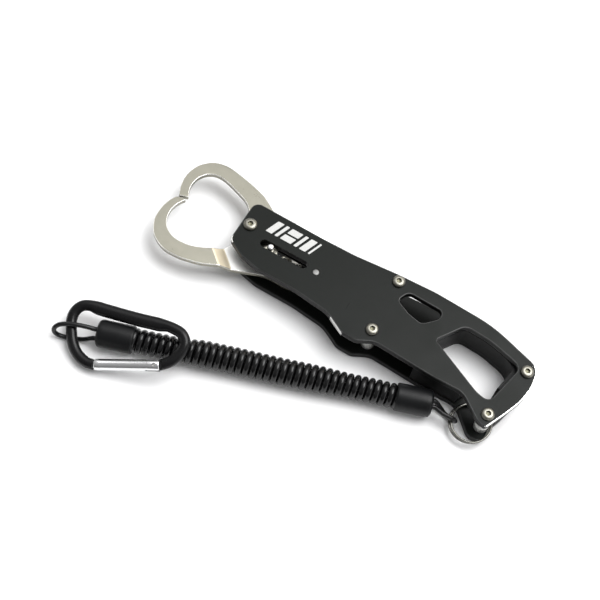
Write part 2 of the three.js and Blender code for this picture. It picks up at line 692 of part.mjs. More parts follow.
// over the carabiner bar, round the turn and back under it
function addClipLoop() {
  const mid = 5.15; // height of the middle of the turn
  const bend = 3.6; // its radius
  addCordLoop('cord_loop_clip', {
    root: loopRoot(CLIP_CAP, AXIS_BACK),
    outward: AXIS_BACK,
    heading: point3(-0.924, -0.383, 0).normalize(),
    first: [-0.7, 7.6],
    turn: [
      [5, 8.5, -0.9], [9.4, mid + bend + 0.3, -0.8], [13, mid + bend + 0.15, -0.6],
      [16.2, mid + bend * 0.8, -0.1], [18.0, mid + bend * 0.3, 0.7],
      [18.2, mid - bend * 0.3, 1.3], [17.0, mid - bend * 0.8, 1.7],
      [14.2, 1.15, 1.9], [10.2, 1.1, 2.0], [6, 2.0, 2.2],
    ],
    last: [[2.2, 4.6], [2.2, 4.7]],
    steps: 34,
  });
}

function addRingLoop() {
  const hang = onCircle(RING_C.x, RING_C.y, RING_R, 195 * DEG); // where it hangs on the ring
  const root = loopRoot(RING_CAP, AXIS);
  const toRing = point3(hang.x - root.x, hang.y - root.y, 0);
  const reach = toRing.length();
  const mid = RING_Z + RING_PITCH / 2;
  const bend = 2.7;
  addCordLoop('cord_loop_ring', {
    root,
    outward: AXIS,
    heading: toRing.normalize(),
    first: [-1.7, 7.3],
    turn: [
      [reach - 3.2, mid + bend + 0.4, -1.4], [reach - 0.4, mid + bend + 0.1, -1.0],
      [reach + 1.6, mid + bend * 0.8, -0.5], [reach + 2.7, mid + bend * 0.1, 0.1],
      [reach + 1.7, mid - bend * 0.78, 0.7], [reach - 0.4, mid - bend - 0.05, 1.1],
      [reach - 3.4, mid - bend + 0.4, 1.6],
    ],
    last: [[2.0, 5.0], [2.0, 5.0]],
    steps: 26,
  });
}

// ---------------------------------------------------------------- carabiner
// Own frame: origin on the loop bar, x along the long side, y towards the spine, z normal.
const CARABINER_FRAME = (() => {
  const along = point3(0.92217, 0.33915, 0.18597).normalize();
  const normal = point3(-0.07624, -0.31198, 0.94703).normalize();
  const toSpine = new THREE.Vector3().crossVectors(normal, along).normalize();
  along.crossVectors(toSpine, normal).normalize();
  return new THREE.Matrix4().makeBasis(along, toSpine, normal).setPosition(-40.65, -77.86, 5.35);
})();
const GATE_PIVOT = [38.4, -11.3];
const NOSE = [11.2, -13.8];
const GATE_R = 2.5;
const GATE_RUN = point2(NOSE[0] - GATE_PIVOT[0], NOSE[1] - GATE_PIVOT[1]);
const GATE_L = GATE_RUN.length();
// gate frame: origin on the gate pivot, x towards the nose
const GATE_FRAME = new THREE.Matrix4()
  .makeRotationZ(Math.atan2(GATE_RUN.y, GATE_RUN.x))
  .setPosition(...GATE_PIVOT, 0);

// x, y along the bar, from the nose round the loop bar and the spine to the gate pivot
const BODY_LINE = [
  [12.6, -13.75], [10.2, -13.4], [7.3, -12.2], [4.2, -9.6], [1.8, -5.8], [0.25, -0.6],
  [-0.45, 4.2], [0.5, 7.9], [3.1, 10.4], [7.0, 10.9], [14, 9.75], [22.9, 8.25],
  [30, 7.2], [37.3, 6.3], [43.3, 5.1], [47.6, 3.0], [49.5, -0.4], [48.4, -4.6],
  [45.4, -8.3], [42.2, -10.2], [39.4, -11.15], [36.7, -11.45],
];
const SPINE_LINE = [[9.5, 10.2], [14, 9.4], [22.9, 7.9], [30, 6.85], [38.5, 5.8]];

function addCarabinerBody() {
  const bar = (line, shape, steps) =>
    toSolid(sweep(splineThrough(line.map(([x, y]) => point3(x, y, 0))), shape, steps));
  const pivotCut = (radius, segments, z0, z1) =>
    extrude(circle(...GATE_PIVOT, radius, segments), [], z0, z1);
  const tongue = 0.85; // half thickness of the tongue, also of the nose slot
  const body = bar(BODY_LINE, section(2.12, 2.35, 9), 38)
    // the spine is pressed wider
    .add(bar(SPINE_LINE, section(1.9, 2.9, 9), 7))
    // flats at the gate pivot leave a thin tongue
    .subtract(pivotCut(3.6, 24, tongue, 4))
    .subtract(pivotCut(3.6, 24, -4, -tongue))
    // the pivot end stops just past the pin
    .subtract(box(20, GATE_PIVOT[0] - 1.75, -20, -7, -4, 4))
    .subtract(pivotCut(0.72, 16, -4, 4))
    // slot for the gate blade, then the end of the nose
    .subtract(box(9.2, 20, -20, -5, -tongue, tongue))
    .subtract(box(12.2, 20, -20, -5, -4, 4));
  const placed = toGeometry(body).applyMatrix4(CARABINER_FRAME);
  addPiece('carabiner_body', placed, 'carabiner', CREASE.forged);
}

// round bar, forked over the tongue, with a thin blade at the nose
function addGate() {
  const barProfile = [
    [0, -2.2], [GATE_R - 0.5, -2.2], [GATE_R, -1.7], [GATE_R, GATE_L - 2.1],
    [GATE_R - 0.4, GATE_L - 1.6], [0, GATE_L - 1.6],
  ];
  const blade = rounded([
    [GATE_L - 3, -1.5, 0], [GATE_L + 0.9, -1.5, 0.6],
    [GATE_L + 0.9, 1.5, 0.6], [GATE_L - 3, 1.5, 0],
  ], 20);
  const springBore = [[0, 3.0], [1.35, 3.0], [1.35, 14], [0, 14]];
  const gate = turnedX(barProfile, 18)
    .add(extrude(blade, [], -0.6, 0.6))
    .subtract(box(-4, 3.8, -4, 4, -1.15, 1.15))
    .subtract(extrude(circle(0, 0, 0.76, 16), [], -4, 4))
    .subtract(turnedX(springBore, 14));
  const placed = toGeometry(gate).applyMatrix4(GATE_FRAME).applyMatrix4(CARABINER_FRAME);
  addPiece('carabiner_gate', placed, 'alu', CREASE.gate);
}

function addGatePin() {
  const pin = rod(0.7, -2.0, 2.0, ...GATE_PIVOT, 16);
  addPiece('gate_pin', toGeometry(pin).applyMatrix4(CARABINER_FRAME), 'steel');
}

// coil in the blind bore of the gate
function addGateSpring() {
  const coilR = 0.95;
  const turns = 6;
  const curve = curveOf((u) => {
    const angle = TURN * turns * u;
    return point3(4.2 + 9.2 * u, coilR * Math.cos(angle), coilR * Math.sin(angle));
  });
  const spring = sweep(curve, section(0.22, 0.22, 4), 42)
    .applyMatrix4(GATE_FRAME)
    .applyMatrix4(CARABINER_FRAME);
  addPiece('gate_spring', spring, 'spring', CREASE.wire);
}

// ---------------------------------------------------------------- assembly
addPlates();
addUpperJaw();
addLowerJaw();
addPivotAndStandoffs();
addBackSpacer();
addScrews();
addTrigger();
addPins();
addReturnSpring();
addSplitRing();
addEndCap('end_cap_clip', CLIP_CAP, AXIS);
addEndCap('end_cap_ring', RING_CAP, AXIS_BACK);
addCoilCord();
addClipLoop();
addRingLoop();
addCarabinerBody();
addGate();
addGatePin();
addGateSpring();

for (const mesh of group.children) mesh.geometry.translate(-ORIGIN[0], -ORIGIN[1], 0);

export default group;
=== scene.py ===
"""Lip grip with a coiled lanyard and a carabiner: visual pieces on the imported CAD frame.

The grip lies flat. Plan sizes are in mm from the jaw pivot at (0, 0): the jaws reach
towards -x, the finger hole is at the +x end and the upper jaw is on the +y side. z is
the height over the floor. The lanyard runs along the -y side to the carabiner.
"""

import random
from math import acos, atan2, ceil, cos, pi, sin, sqrt, tan

import bmesh
import bpy
from mathutils import Matrix, Vector


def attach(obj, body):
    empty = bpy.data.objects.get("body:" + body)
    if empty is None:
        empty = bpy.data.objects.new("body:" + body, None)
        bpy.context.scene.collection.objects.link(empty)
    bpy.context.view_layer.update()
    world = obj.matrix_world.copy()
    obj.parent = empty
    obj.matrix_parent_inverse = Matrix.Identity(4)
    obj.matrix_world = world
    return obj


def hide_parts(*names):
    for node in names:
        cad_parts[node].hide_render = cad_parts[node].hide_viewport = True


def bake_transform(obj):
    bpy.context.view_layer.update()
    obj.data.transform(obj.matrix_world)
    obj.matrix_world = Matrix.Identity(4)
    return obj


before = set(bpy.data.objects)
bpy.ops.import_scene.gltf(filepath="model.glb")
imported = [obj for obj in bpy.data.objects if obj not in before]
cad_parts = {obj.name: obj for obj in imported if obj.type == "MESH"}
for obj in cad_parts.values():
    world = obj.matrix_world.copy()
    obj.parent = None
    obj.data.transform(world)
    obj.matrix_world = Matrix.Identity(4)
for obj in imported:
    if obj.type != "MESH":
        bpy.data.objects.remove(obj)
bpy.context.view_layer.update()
random.seed(7)

MM = 0.001
DEG = pi / 180
ORIGIN_X, ORIGIN_Y = 38.0, -13.0        # the world origin, seen from the jaw pivot

# ------------------------------------------------------------------ shared sizes, mm
PLATE_T = 3.0
Z_TOP0, Z_TOP1 = 14.0, 17.0             # underside and face of the top plate
JAW_T, Z_JAW = 2.4, 8.95
Z_LOWTAIL = 6.25                        # underside of the lower jaw past its web
Z_TRIG, TRIG_T, TRAVEL = 11.55, 1.7, 15.0
Z_TRIG_TOP = Z_TRIG + TRIG_T
PIN = (12.9, -4.55)                     # slide pin
GUIDE = (35.5, -5.0)
POST = (56.0, -5.0)                     # spring post
PIN_R, POST_R = 1.5, 1.2
SLOT_R, PLATE_SLOT_R = 1.6, 1.9
SLEEVE_R, STAND_R, BORE_R = 2.5, 3.0, 1.55
SCREW_R = 1.5
SCREWS = {
    "pivot": (0, 0), "mid_upper": (68, 10), "mid_lower": (68.8, -16.1),
    "tail_lower": (127.4, -24.6), "tail_upper": (133.5, 1.2)}
HOLE_MID = (112, -8)                    # middle of the finger hole


def pos(x, y, z=0.0):
    """World place of a point given in mm from the jaw pivot."""
    return Vector(((x - ORIGIN_X) * MM, (y - ORIGIN_Y) * MM, z * MM))


def local(x, y, z=0.0):
    """Metres from mm, for parts modelled about their own origin."""
    return Vector((x * MM, y * MM, z * MM))


def plan_mm(point):
    """The reverse of pos, for x and y."""
    return point.x / MM + ORIGIN_X, point.y / MM + ORIGIN_Y


def shift_to(x, y):
    return Matrix.Translation(pos(x, y))


# takes the offset of pos off again
TO_LOCAL = Matrix.Translation(local(ORIGIN_X, ORIGIN_Y))


def axes_matrix(x_axis, y_axis, z_axis, origin):
    matrix = Matrix((x_axis, y_axis, z_axis)).transposed().to_4x4()
    matrix.translation = origin
    return matrix


# ------------------------------------------------------------------ shader nodes
def feed(tree, node, inputs):
    """Sets or links a node's inputs, by name or index."""
    for key, value in inputs.items():
        if isinstance(value, bpy.types.NodeSocket):
            tree.links.new(value, node.inputs[key])
        else:
            node.inputs[key].default_value = value


def add_node(tree, kind, inputs, **settings):
    node = tree.nodes.new("ShaderNode" + kind)
    for key, value in settings.items():
        setattr(node, key, value)
    feed(tree, node, inputs)
    return node


def new_material(name):
    material = bpy.data.materials.new(name)
    material.use_nodes = True
    tree = material.node_tree
    return material, tree, tree.nodes["Principled BSDF"]


def coords(tree, scale=(1, 1, 1), turn=(0, 0, 0)):
    source = add_node(tree, "TexCoord", {}).outputs["Object"]
    inputs = {"Scale": scale, "Rotation": turn, "Vector": source}
    return add_node(tree, "Mapping", inputs).outputs["Vector"]


def noise(tree, vector, scale, detail, rough):
    inputs = {"Scale": scale, "Detail": detail, "Roughness": rough, "Vector": vector}
    return add_node(tree, "TexNoise", inputs).outputs["Fac"]


def remap(tree, value, source, target):
    return add_node(tree, "MapRange", dict(enumerate((value, *source, *target)))).outputs[0]


def mix_colour(tree, factor, dark, light):
    inputs = {6: (*dark, 1), 7: (*light, 1), 0: factor}
    return add_node(tree, "Mix", inputs, data_type="RGBA").outputs[2]


def calculate(tree, operation, first, second):
    return add_node(tree, "Math", {0: first, 1: second}, operation=operation).outputs[0]


def weighted_sum(tree, first, share, second, rest):
    return calculate(tree, "ADD", calculate(tree, "MULTIPLY", first, share),
                     calculate(tree, "MULTIPLY", second, rest))


def bump(tree, height, distance, strength, **under):
    inputs = {"Strength": strength, "Distance": distance, "Height": height, **under}
    return add_node(tree, "Bump", inputs).outputs["Normal"]


# ------------------------------------------------------------------ material kinds
# rough: mean roughness; blast, depth: relief in metres; mottle: scale of the broad noise
def anodised(name, dark, light, rough, specular, blast=0.000018):
    """Bead-blasted anodising with sparse thin scratches."""
    material, tree, bsdf = new_material(name)
    vector = coords(tree)
    fine = noise(tree, vector, scale=5200, detail=3, rough=0.6)
    wide = noise(tree, vector, scale=90, detail=3, rough=0.5)
    # scratches: noise stretched along one direction, cut high
    stretched = coords(tree, scale=(1200, 30, 1200), turn=(0, 0, 0.4))
    marks = noise(tree, stretched, scale=1.0, detail=2, rough=0.5)
    scratches = remap(tree, marks, (0.66, 0.72), (0.0, 1.0))
    factor = weighted_sum(tree, fine, 0.6, wide, 0.4)
    broad = remap(tree, wide, (0.3, 0.7), (rough - 0.04, rough + 0.05))
    smoother = calculate(tree, "MULTIPLY", scratches, 0.06)
    feed(tree, bsdf, {
        "Base Color": mix_colour(tree, factor, dark, light),
        "Roughness": calculate(tree, "SUBTRACT", broad, smoother),
        "IOR": 1.45,
        "Specular IOR Level": specular,
        "Normal": bump(tree, fine, distance=blast, strength=0.6)})
    return material


def metal(name, dark, light, rough, grain, depth, mottle, turn=(0, 0, 0), spread=0.05,
          metallic=1.0):
    """Bare metal; grain is the noise scale along each axis, spread the change in roughness."""
    material, tree, bsdf = new_material(name)
    lines = noise(tree, coords(tree, grain, turn), scale=1.0, detail=4, rough=0.6)
    wide = noise(tree, coords(tree), scale=mottle, detail=3, rough=0.5)
    fine = noise(tree, coords(tree), scale=3500, detail=2, rough=0.5)
    factor = weighted_sum(tree, lines, 0.55, wide, 0.45)
    brushed = bump(tree, lines, distance=depth, strength=0.5)
    feed(tree, bsdf, {
        "Base Color": mix_colour(tree, factor, dark, light),
        "Metallic": metallic,
        "Roughness": remap(tree, factor, (0.3, 0.7), (rough - spread, rough + spread)),
        "Normal": bump(tree, fine, distance=depth * 0.5, strength=0.35, Normal=brushed)})
    return material


def polymer(name, dark, light, rough, scale, depth, specular, mottle, dust=0.0):
    """Moulded or printed surface; dust adds roughness in fine specks."""
    material, tree, bsdf = new_material(name)
    vector = coords(tree)
    fine = noise(tree, vector, scale=scale, detail=4, rough=0.55)
    wide = noise(tree, vector, scale=mottle, detail=3, rough=0.5)
    factor = remap(tree, fine, (0.35, 0.65), (0, 1))
    roughness = remap(tree, wide, (0.3, 0.7), (rough - 0.05, rough + 0.06))
    if dust:
        specks = noise(tree, vector, scale=1600, detail=2, rough=0.5)
        specks = remap(tree, specks, (0.68, 0.74), (0.0, dust))
        roughness = calculate(tree, "ADD", roughness, specks)
    feed(tree, bsdf, {
        "Base Color": mix_colour(tree, factor, dark, light),
        "Roughness": roughness,
        "Specular IOR Level": specular,
        "Coat Roughness": 0.08,
        "Normal": bump(tree, fine, distance=depth, strength=0.6)})
    return material


# ------------------------------------------------------------------ materials
SHEET = dict(grain=(260, 260, 260), depth=0.00001, mottle=45)
TURNED = dict(grain=(1500, 1500, 90), depth=0.000006, mottle=200)
FASTENER = dict(grain=(700, 700, 700), depth=0.000008, mottle=350, spread=0.06)
WIRE = dict(grain=(900, 900, 900), depth=0.000004, mottle=260)

MAT_PLATE = anodised(
    "anodised_black", dark=(0.0055, 0.0068, 0.0058), light=(0.0088, 0.0104, 0.0090),
    rough=0.36, specular=0.135)
MAT_CHAMFER = anodised(
    "anodised_chamfer", dark=(0.0085, 0.0090, 0.0085), light=(0.0140, 0.0148, 0.0140),
    rough=0.32, specular=0.45, blast=0.000006)
# painted highlight: bright metal for chosen chamfers and walls of the top plate
MAT_EDGE_HIGHLIGHT = metal(
    "painted_highlight_chamfer", dark=(0.62, 0.62, 0.60), light=(0.78, 0.78, 0.76), rough=0.24,
    grain=(500, 500, 500), depth=0.000003, mottle=120, spread=0.04, metallic=0.95)
# painted shade: a darker copy of the plate anodising for the bottom plate and the mid_upper
# standoff
MAT_BASE_SHADED = anodised(
    "anodised_base_painted_shade", dark=(0.0048, 0.0056, 0.0050), light=(0.0080, 0.0090, 0.0080),
    rough=0.42, specular=0.10)
# painted light: a lighter, rougher copy of the jaw steel with a tan tint, for the lower jaw's
# sloping web
MAT_WEB_LIT = metal(
    "joggle_stainless_painted_light", dark=(0.70, 0.62, 0.47), light=(0.84, 0.76, 0.60), rough=0.60, **SHEET)
# painted highlight: a near-white copy of the jaw steel for the lower jaw's flat tail past the web
MAT_TAIL_HIGHLIGHT = metal(
    "painted_highlight_stainless", dark=(0.88, 0.88, 0.86), light=(0.97, 0.97, 0.95), rough=0.62, **SHEET)
# painted shade: a darker copy of the mirror steel for the trigger fin's bevels
MAT_FIN_EDGE_SHADED = metal(
    "fin_edge_painted_shade", dark=(0.50, 0.50, 0.50), light=(0.62, 0.62, 0.62), rough=0.35,
    grain=(500, 500, 500), depth=0.000004, mottle=90, spread=0.04)
# painted light: a lighter, rougher copy of the turned steel, so the standoffs show lit in the
# shaded gap between the plates
MAT_STANDOFF_LIT = metal(
    "turned_standoff_painted_light", dark=(0.72, 0.72, 0.69), light=(0.84, 0.84, 0.81), rough=0.48, **TURNED)
# painted shade: a darker copy of the plate anodising for the plates' cut walls
MAT_WALL_SHADED = anodised(
    "anodised_wall_painted_shade", dark=(0.0035, 0.0038, 0.0035), light=(0.0060, 0.0063, 0.0060),
    rough=0.40, specular=0.16, blast=0.00001)
MAT_JAW = metal(
    "tumbled_stainless", dark=(0.215, 0.208, 0.172), light=(0.295, 0.285, 0.24),
    rough=0.30, **SHEET)
# painted highlight: a much lighter copy of the jaw steel for the jaws' bevels and the trigger's
# walls
MAT_JAW_EDGE_HIGHLIGHT = metal(
    "stainless_edge_painted_highlight", dark=(0.66, 0.65, 0.62), light=(0.80, 0.79, 0.76), rough=0.22,
    grain=(700, 700, 60), depth=0.000005, mottle=80, spread=0.04)
MAT_MIRROR = metal(
    "mirror_stainless", dark=(0.86, 0.86, 0.855), light=(0.93, 0.93, 0.925), rough=0.07,
    grain=(500, 30, 500), turn=(0, 0, 0.6), depth=0.0000012, mottle=40, spread=0.025)
MAT_STEEL = metal(
    "turned_stainless", dark=(0.60, 0.59, 0.57), light=(0.76, 0.75, 0.73), rough=0.25, **TURNED)
MAT_SCREW = metal(
    "screw_stainless", dark=(0.18, 0.176, 0.15), light=(0.27, 0.26, 0.225),
    rough=0.34, **FASTENER)
MAT_SOCKET = metal(
    "socket_stainless", dark=(0.12, 0.115, 0.08), light=(0.20, 0.19, 0.135),
    rough=0.45, **FASTENER)
MAT_NICKEL = metal(
    "nickel_plate", dark=(0.17, 0.168, 0.155), light=(0.26, 0.255, 0.235), rough=0.28, **WIRE)
MAT_ALU = metal(
    "polished_aluminium", dark=(0.76, 0.765, 0.77), light=(0.88, 0.885, 0.89), rough=0.19,
    grain=(1600, 1600, 40), depth=0.000004, mottle=90)
MAT_SPRING = metal(
    "spring_wire", dark=(0.36, 0.355, 0.33), light=(0.50, 0.49, 0.47), rough=0.27, **WIRE)
MAT_PIN = metal(
    "pin_end", dark=(0.15, 0.15, 0.148), light=(0.22, 0.22, 0.215), rough=0.42,
    grain=(900, 900, 900), depth=0.000006, mottle=300)
MAT_CORD = polymer(
    "glossy_cord", dark=(0.0025, 0.0025, 0.0028), light=(0.0050, 0.0050, 0.0054),
    rough=0.17, scale=900, depth=0.000008, specular=0.36, mottle=200)
MAT_LOOP = polymer(
    "loop_cord", dark=(0.0028, 0.0028, 0.0031), light=(0.0058, 0.0058, 0.0064),
    rough=0.27, scale=1500, depth=0.00001, specular=0.34, mottle=200)
MAT_RUBBER = polymer(
    "moulded_rubber", dark=(0.0032, 0.0034, 0.0038), light=(0.0062, 0.0066, 0.0072),
    rough=0.38, scale=2600, depth=0.00002, specular=0.22, mottle=110, dust=0.25)
MAT_FILLER = polymer(
    "moulded_filler", dark=(0.0026, 0.0028, 0.0029), light=(0.0050, 0.0053, 0.0055),
    rough=0.5, scale=2400, depth=0.00002, specular=0.15, mottle=110)
MAT_CARABINER = polymer(
    "black_anodised_carabiner", dark=(0.0028, 0.0028, 0.0031), light=(0.0055, 0.0055, 0.0060),
    rough=0.27, scale=1800, depth=0.000012, specular=0.26, mottle=160, dust=0.1)
MAT_PRINT = polymer(
    "white_print", dark=(0.50, 0.50, 0.49), light=(0.62, 0.62, 0.61),
    rough=0.45, scale=4200, depth=0.000006, specular=0.4, mottle=300)


# ------------------------------------------------------------------ outlines and curves
def smooth(share):
    """Clamps to 0..1 and eases both ends."""
    share = min(1.0, max(0.0, share))
    return share * share * (3 - 2 * share)


def corner(before, at, after, step, least):
    """Arc that rounds one corner; at is (a, b) or (a, b, radius), step is in degrees."""
    point = Vector(at[:2])
    back = Vector(before[:2]) - point
    ahead = Vector(after[:2]) - point
    room = min(back.length, ahead.length)
    back.normalize()
    ahead.normalize()
    angle = acos(max(-1, min(1, back.dot(ahead))))
    radius = at[2] if len(at) > 2 else 0
    if radius < 1e-6 or pi - angle < 0.02:
        return [tuple(point)]
    reach = min(radius / tan(angle / 2), 0.48 * room)
    radius = reach * tan(angle / 2)
    start, end = point + back * reach, point + ahead * reach
    centre = point + (back + ahead).normalized() * (radius / sin(angle / 2))
    first = atan2(start.y - centre.y, start.x - centre.x)
    turn = atan2(end.y - centre.y, end.x - centre.x) - first
    while turn > pi:
        turn -= 2 * pi
    while turn < -pi:
        turn += 2 * pi
    count = max(least, ceil(abs(turn) / DEG / step))
    angles = [first + turn * j / count for j in range(count + 1)]
    return [(centre.x + radius * cos(t), centre.y + radius * sin(t)) for t in angles]


def rounded(points, step=4.0):
    """Closed outline from (x, y, corner radius) rows."""
    out = []
    for i, point in enumerate(points):
        out += corner(points[i - 1], point, points[(i + 1) % len(points)], step, least=3)
    return out


def fillet(points, step=12):
    """Open (r, z) profile from (r, z[, corner radius]) rows."""
    out = [tuple(points[0][:2])]
    for before, point, after in zip(points, points[1:], points[2:]):
        out += corner(before, point, after, step, least=2)
    out.append(tuple(points[-1][:2]))
    return out


def eased(outline, spread, tips=(), spacing=0.3):
    """Evens out a closed outline; points near a tip stay sharp."""
    points, carry = [], 0.0
    for i, corner_point in enumerate(outline):
        start, end = Vector(corner_point), Vector(outline[(i + 1) % len(outline)])
        length = (end - start).length
        along = carry
        while along < length:
            points.append(start.lerp(end, along / length))
            along += spacing
        carry = along - length
    weights = []
    for point in points:
        freedom = 1.0
        for tip in tips:
            freedom = min(freedom, max(0.0, ((point - Vector(tip)).length - 1) / 3.0))
        weights.append(0.5 * freedom)
    n = len(points)
    for _ in range(int(spread * spread / (0.5 * spacing * spacing))):
        points = [
            points[i] + ((points[i - 1] + points[(i + 1) % n]) / 2 - points[i]) * weights[i]
            for i in range(n)]
    return [(point.x, point.y) for point in points]


def circle(x, y, radius, count=72):
    angles = [2 * pi * (i + 0.5) / count for i in range(count)]
    return [(x + radius * cos(t), y + radius * sin(t)) for t in angles]


def slot_around(line, radius, steps=24):
    """Outline at a fixed distance round a centre line, with round ends."""
    last = len(line) - 1

    def heading(i):
        a, b = line[max(0, i - 1)], line[min(last, i + 1)]
        return Vector((b[0] - a[0], b[1] - a[1])).normalized()

    def round_end(i, first):
        x, y = line[i]
        start = atan2(heading(i).y, heading(i).x) + first
        angles = [start + pi * j / steps for j in range(1, steps)]
        return [(x + radius * cos(t), y + radius * sin(t)) for t in angles]

    left, right = [], []
    for i, (x, y) in enumerate(line):
        ahead = heading(i)
        left.append((x - ahead.y * radius, y + ahead.x * radius))
        right.append((x + ahead.y * radius, y - ahead.x * radius))
    return right + round_end(last, -pi / 2) + left[::-1] + round_end(0, pi / 2)


def catmull(controls, count):
    """Centripetal Catmull-Rom through the controls, in count even steps."""
    points = [Vector(point) for point in controls]
    points = [points[0] * 2 - points[1]] + points + [points[-1] * 2 - points[-2]]

    def between(a, b, start, end, t):
        return a * ((end - t) / (end - start)) + b * ((t - start) / (end - start))

    fine = []
    for p0, p1, p2, p3 in zip(points, points[1:], points[2:], points[3:]):
        t0 = 0.0
        t1 = t0 + max(1e-6, (p1 - p0).length) ** 0.5
        t2 = t1 + max(1e-6, (p2 - p1).length) ** 0.5
        t3 = t2 + max(1e-6, (p3 - p2).length) ** 0.5
        for j in range(24):
            t = t1 + (t2 - t1) * j / 24
            middle = between(p1, p2, t1, t2, t)
            first = between(between(p0, p1, t0, t1, t), middle, t0, t2, t)
            second = between(middle, between(p2, p3, t2, t3, t), t1, t3, t)
            fine.append(between(first, second, t1, t2, t))
    fine.append(points[-2].copy())
    lengths = [0.0]
    for a, b in zip(fine, fine[1:]):
        lengths.append(lengths[-1] + (b - a).length)
    out, k = [], 0
    for j in range(count + 1):
        along = lengths[-1] * j / count
        while k < len(lengths) - 2 and lengths[k + 1] < along:
            k += 1
        share = (along - lengths[k]) / max(1e-9, lengths[k + 1] - lengths[k])
        out.append(fine[k].lerp(fine[k + 1], min(1, max(0, share))))
    return out


# ------------------------------------------------------------------ solids (bmesh, metres)
def slab_bm(loops, z0, z1, bevel=0.0, steps=0):
    """Flat part with broken edges: a filled 2-D curve turned into a mesh."""
    curve = bpy.data.curves.new("slab", "CURVE")
    curve.dimensions = "2D"
    curve.fill_mode = "BOTH"
    curve.extrude = ((z1 - z0) / 2 - bevel) * MM
    curve.bevel_depth = bevel * MM
    curve.bevel_resolution = steps
    curve.offset = -bevel * MM
    for loop in loops:
        spline = curve.splines.new("POLY")
        spline.points.add(len(loop) - 1)
        for point, (x, y) in zip(spline.points, loop):
            place = pos(x, y)
            point.co = (place.x, place.y, 0, 1)
        spline.use_cyclic_u = True
    ob = bpy.data.objects.new("slab", curve)
    bpy.context.scene.collection.objects.link(ob)
    bpy.context.view_layer.update()
    depsgraph = bpy.context.evaluated_depsgraph_get()
    mesh = bpy.data.meshes.new_from_object(ob.evaluated_get(depsgraph))
    bpy.data.objects.remove(ob)
    bpy.data.curves.remove(curve)
    bm = bmesh.new()
    bm.from_mesh(mesh)
    bpy.data.meshes.remove(mesh)
    bmesh.ops.remove_doubles(bm, verts=bm.verts, dist=1.5e-6)
    bmesh.ops.translate(bm, verts=bm.verts, vec=(0, 0, (z0 + z1) / 2 * MM))
    return bm


def through(outline, z0, z1):
    """Cutter that passes right through a sheet lying from z0 to z1."""
    return slab_bm([outline], z0 - 1, z1 + 1)


def ring(bm, radius, z, segments, turn=0.0, hexagon=False):
    """Ring round z, or one vertex on the axis; a hexagon's radius is to its flats."""
    if radius < 1e-6:
        return [bm.verts.new((0, 0, z * MM))]
    out = []
    for i in range(segments):
        angle = 2 * pi * i / segments
        reach = radius / cos((angle % (pi / 3)) - pi / 6) if hexagon else radius
        x, y = reach * MM * cos(angle + turn), reach * MM * sin(angle + turn)
        out.append(bm.verts.new((x, y, z * MM)))
    return out


def skin(bm, rings):
    """Faces between neighbouring rings, as one list per span."""
    spans = []
    for a, b in zip(rings, rings[1:]):
        spans.append([])
        count = max(len(a), len(b))
        for i in range(count):
            j = (i + 1) % count
            if len(a) == 1:
                corners = (a[0], b[i], b[j])
            elif len(b) == 1:
                corners = (a[i], b[0], a[j])
            else:
                corners = (a[i], b[i], b[j], a[j])
            spans[-1].append(bm.faces.new(corners))
    return spans


def lathe_bm(profile, segments, matrix):
    """Revolves (r, z) about z; a profile that returns to its start makes a tube."""
    bm = bmesh.new()
    closed = profile[0] == profile[-1]
    rings = [ring(bm, r, z, segments) for r, z in (profile[:-1] if closed else profile)]
    skin(bm, rings + rings[:1] if closed else rings)
    bm.transform(matrix)
    return bm


def disc_bm(radius, z0, z1, matrix, segments=48):
    return lathe_bm([(0, z0), (radius, z0), (radius, z1), (0, z1)], segments, matrix)


def box_bm(low, high):
    bm = bmesh.new()
    bmesh.ops.create_cube(bm, size=1.0)
    for v in bm.verts:
        v.co = [b if side > 0 else a for a, b, side in zip(low, high, v.co)]
    return bm


def sweep_bm(points, size, sides=14, up=None, cap=0.5):
    """Bar along a polyline in mm.

    size: half sizes (a, b) of the section, or a list with one pair per point.
    up: fixes the section's b axis; without it the section is carried along the line.
    cap: length of the rounded ends, as a share of a; 0 leaves them flat.
    """
    last = len(points) - 1
    sizes = size if isinstance(size, list) else [size] * len(points)
    tangents = [
        (points[min(last, i + 1)] - points[max(0, i - 1)]).normalized()
        for i in range(last + 1)]
    frames = []
    if up is None:
        first = tangents[0]
        ref = Vector((0, 0, 1)) if abs(first.z) < 0.9 else Vector((1, 0, 0))
        normal = (ref - first * ref.dot(first)).normalized()
        for i, tangent in enumerate(tangents):
            if i:
                normal = (normal - tangent * normal.dot(tangent)).normalized()
            frames.append((normal.copy(), tangent.cross(normal).normalized()))
    else:
        for tangent in tangents:
            b_axis = Vector(up)
            b_axis = (b_axis - tangent * b_axis.dot(tangent)).normalized()
            frames.append((b_axis.cross(tangent).normalized(), b_axis))
    bm = bmesh.new()
    rings = []

    def add_ring(centre, frame, a, b):
        angles = [2 * pi * k / sides for k in range(sides)]
        rings.append([
            bm.verts.new(centre + frame[0] * a * cos(t) + frame[1] * b * sin(t))
            for t in angles])

    def round_end(i, outward, shares):
        a, b = sizes[i]
        for share in shares:
            shrink = sqrt(1 - share * share * 0.55)
            tip = 0.72 if share == 1.0 else 1
            centre = points[i] + tangents[i] * (outward * cap * a * share)
            add_ring(centre, frames[i], a * shrink * tip, b * shrink * tip)

    if cap:
        round_end(0, -1, (1.0, 0.75, 0.4))
    for point, frame, (a, b) in zip(points, frames, sizes):
        add_ring(point, frame, a, b)
    if cap:
        round_end(last, 1, (0.4, 0.75, 1.0))
    for a, b in zip(rings, rings[1:]):
        for i in range(sides):
            j = (i + 1) % sides
            bm.faces.new((a[i], a[j], b[j], b[i]))
    bm.faces.new(rings[0][::-1])
    bm.faces.new(rings[-1])
    for v in bm.verts:
        v.co = pos(*v.co)
    return bm


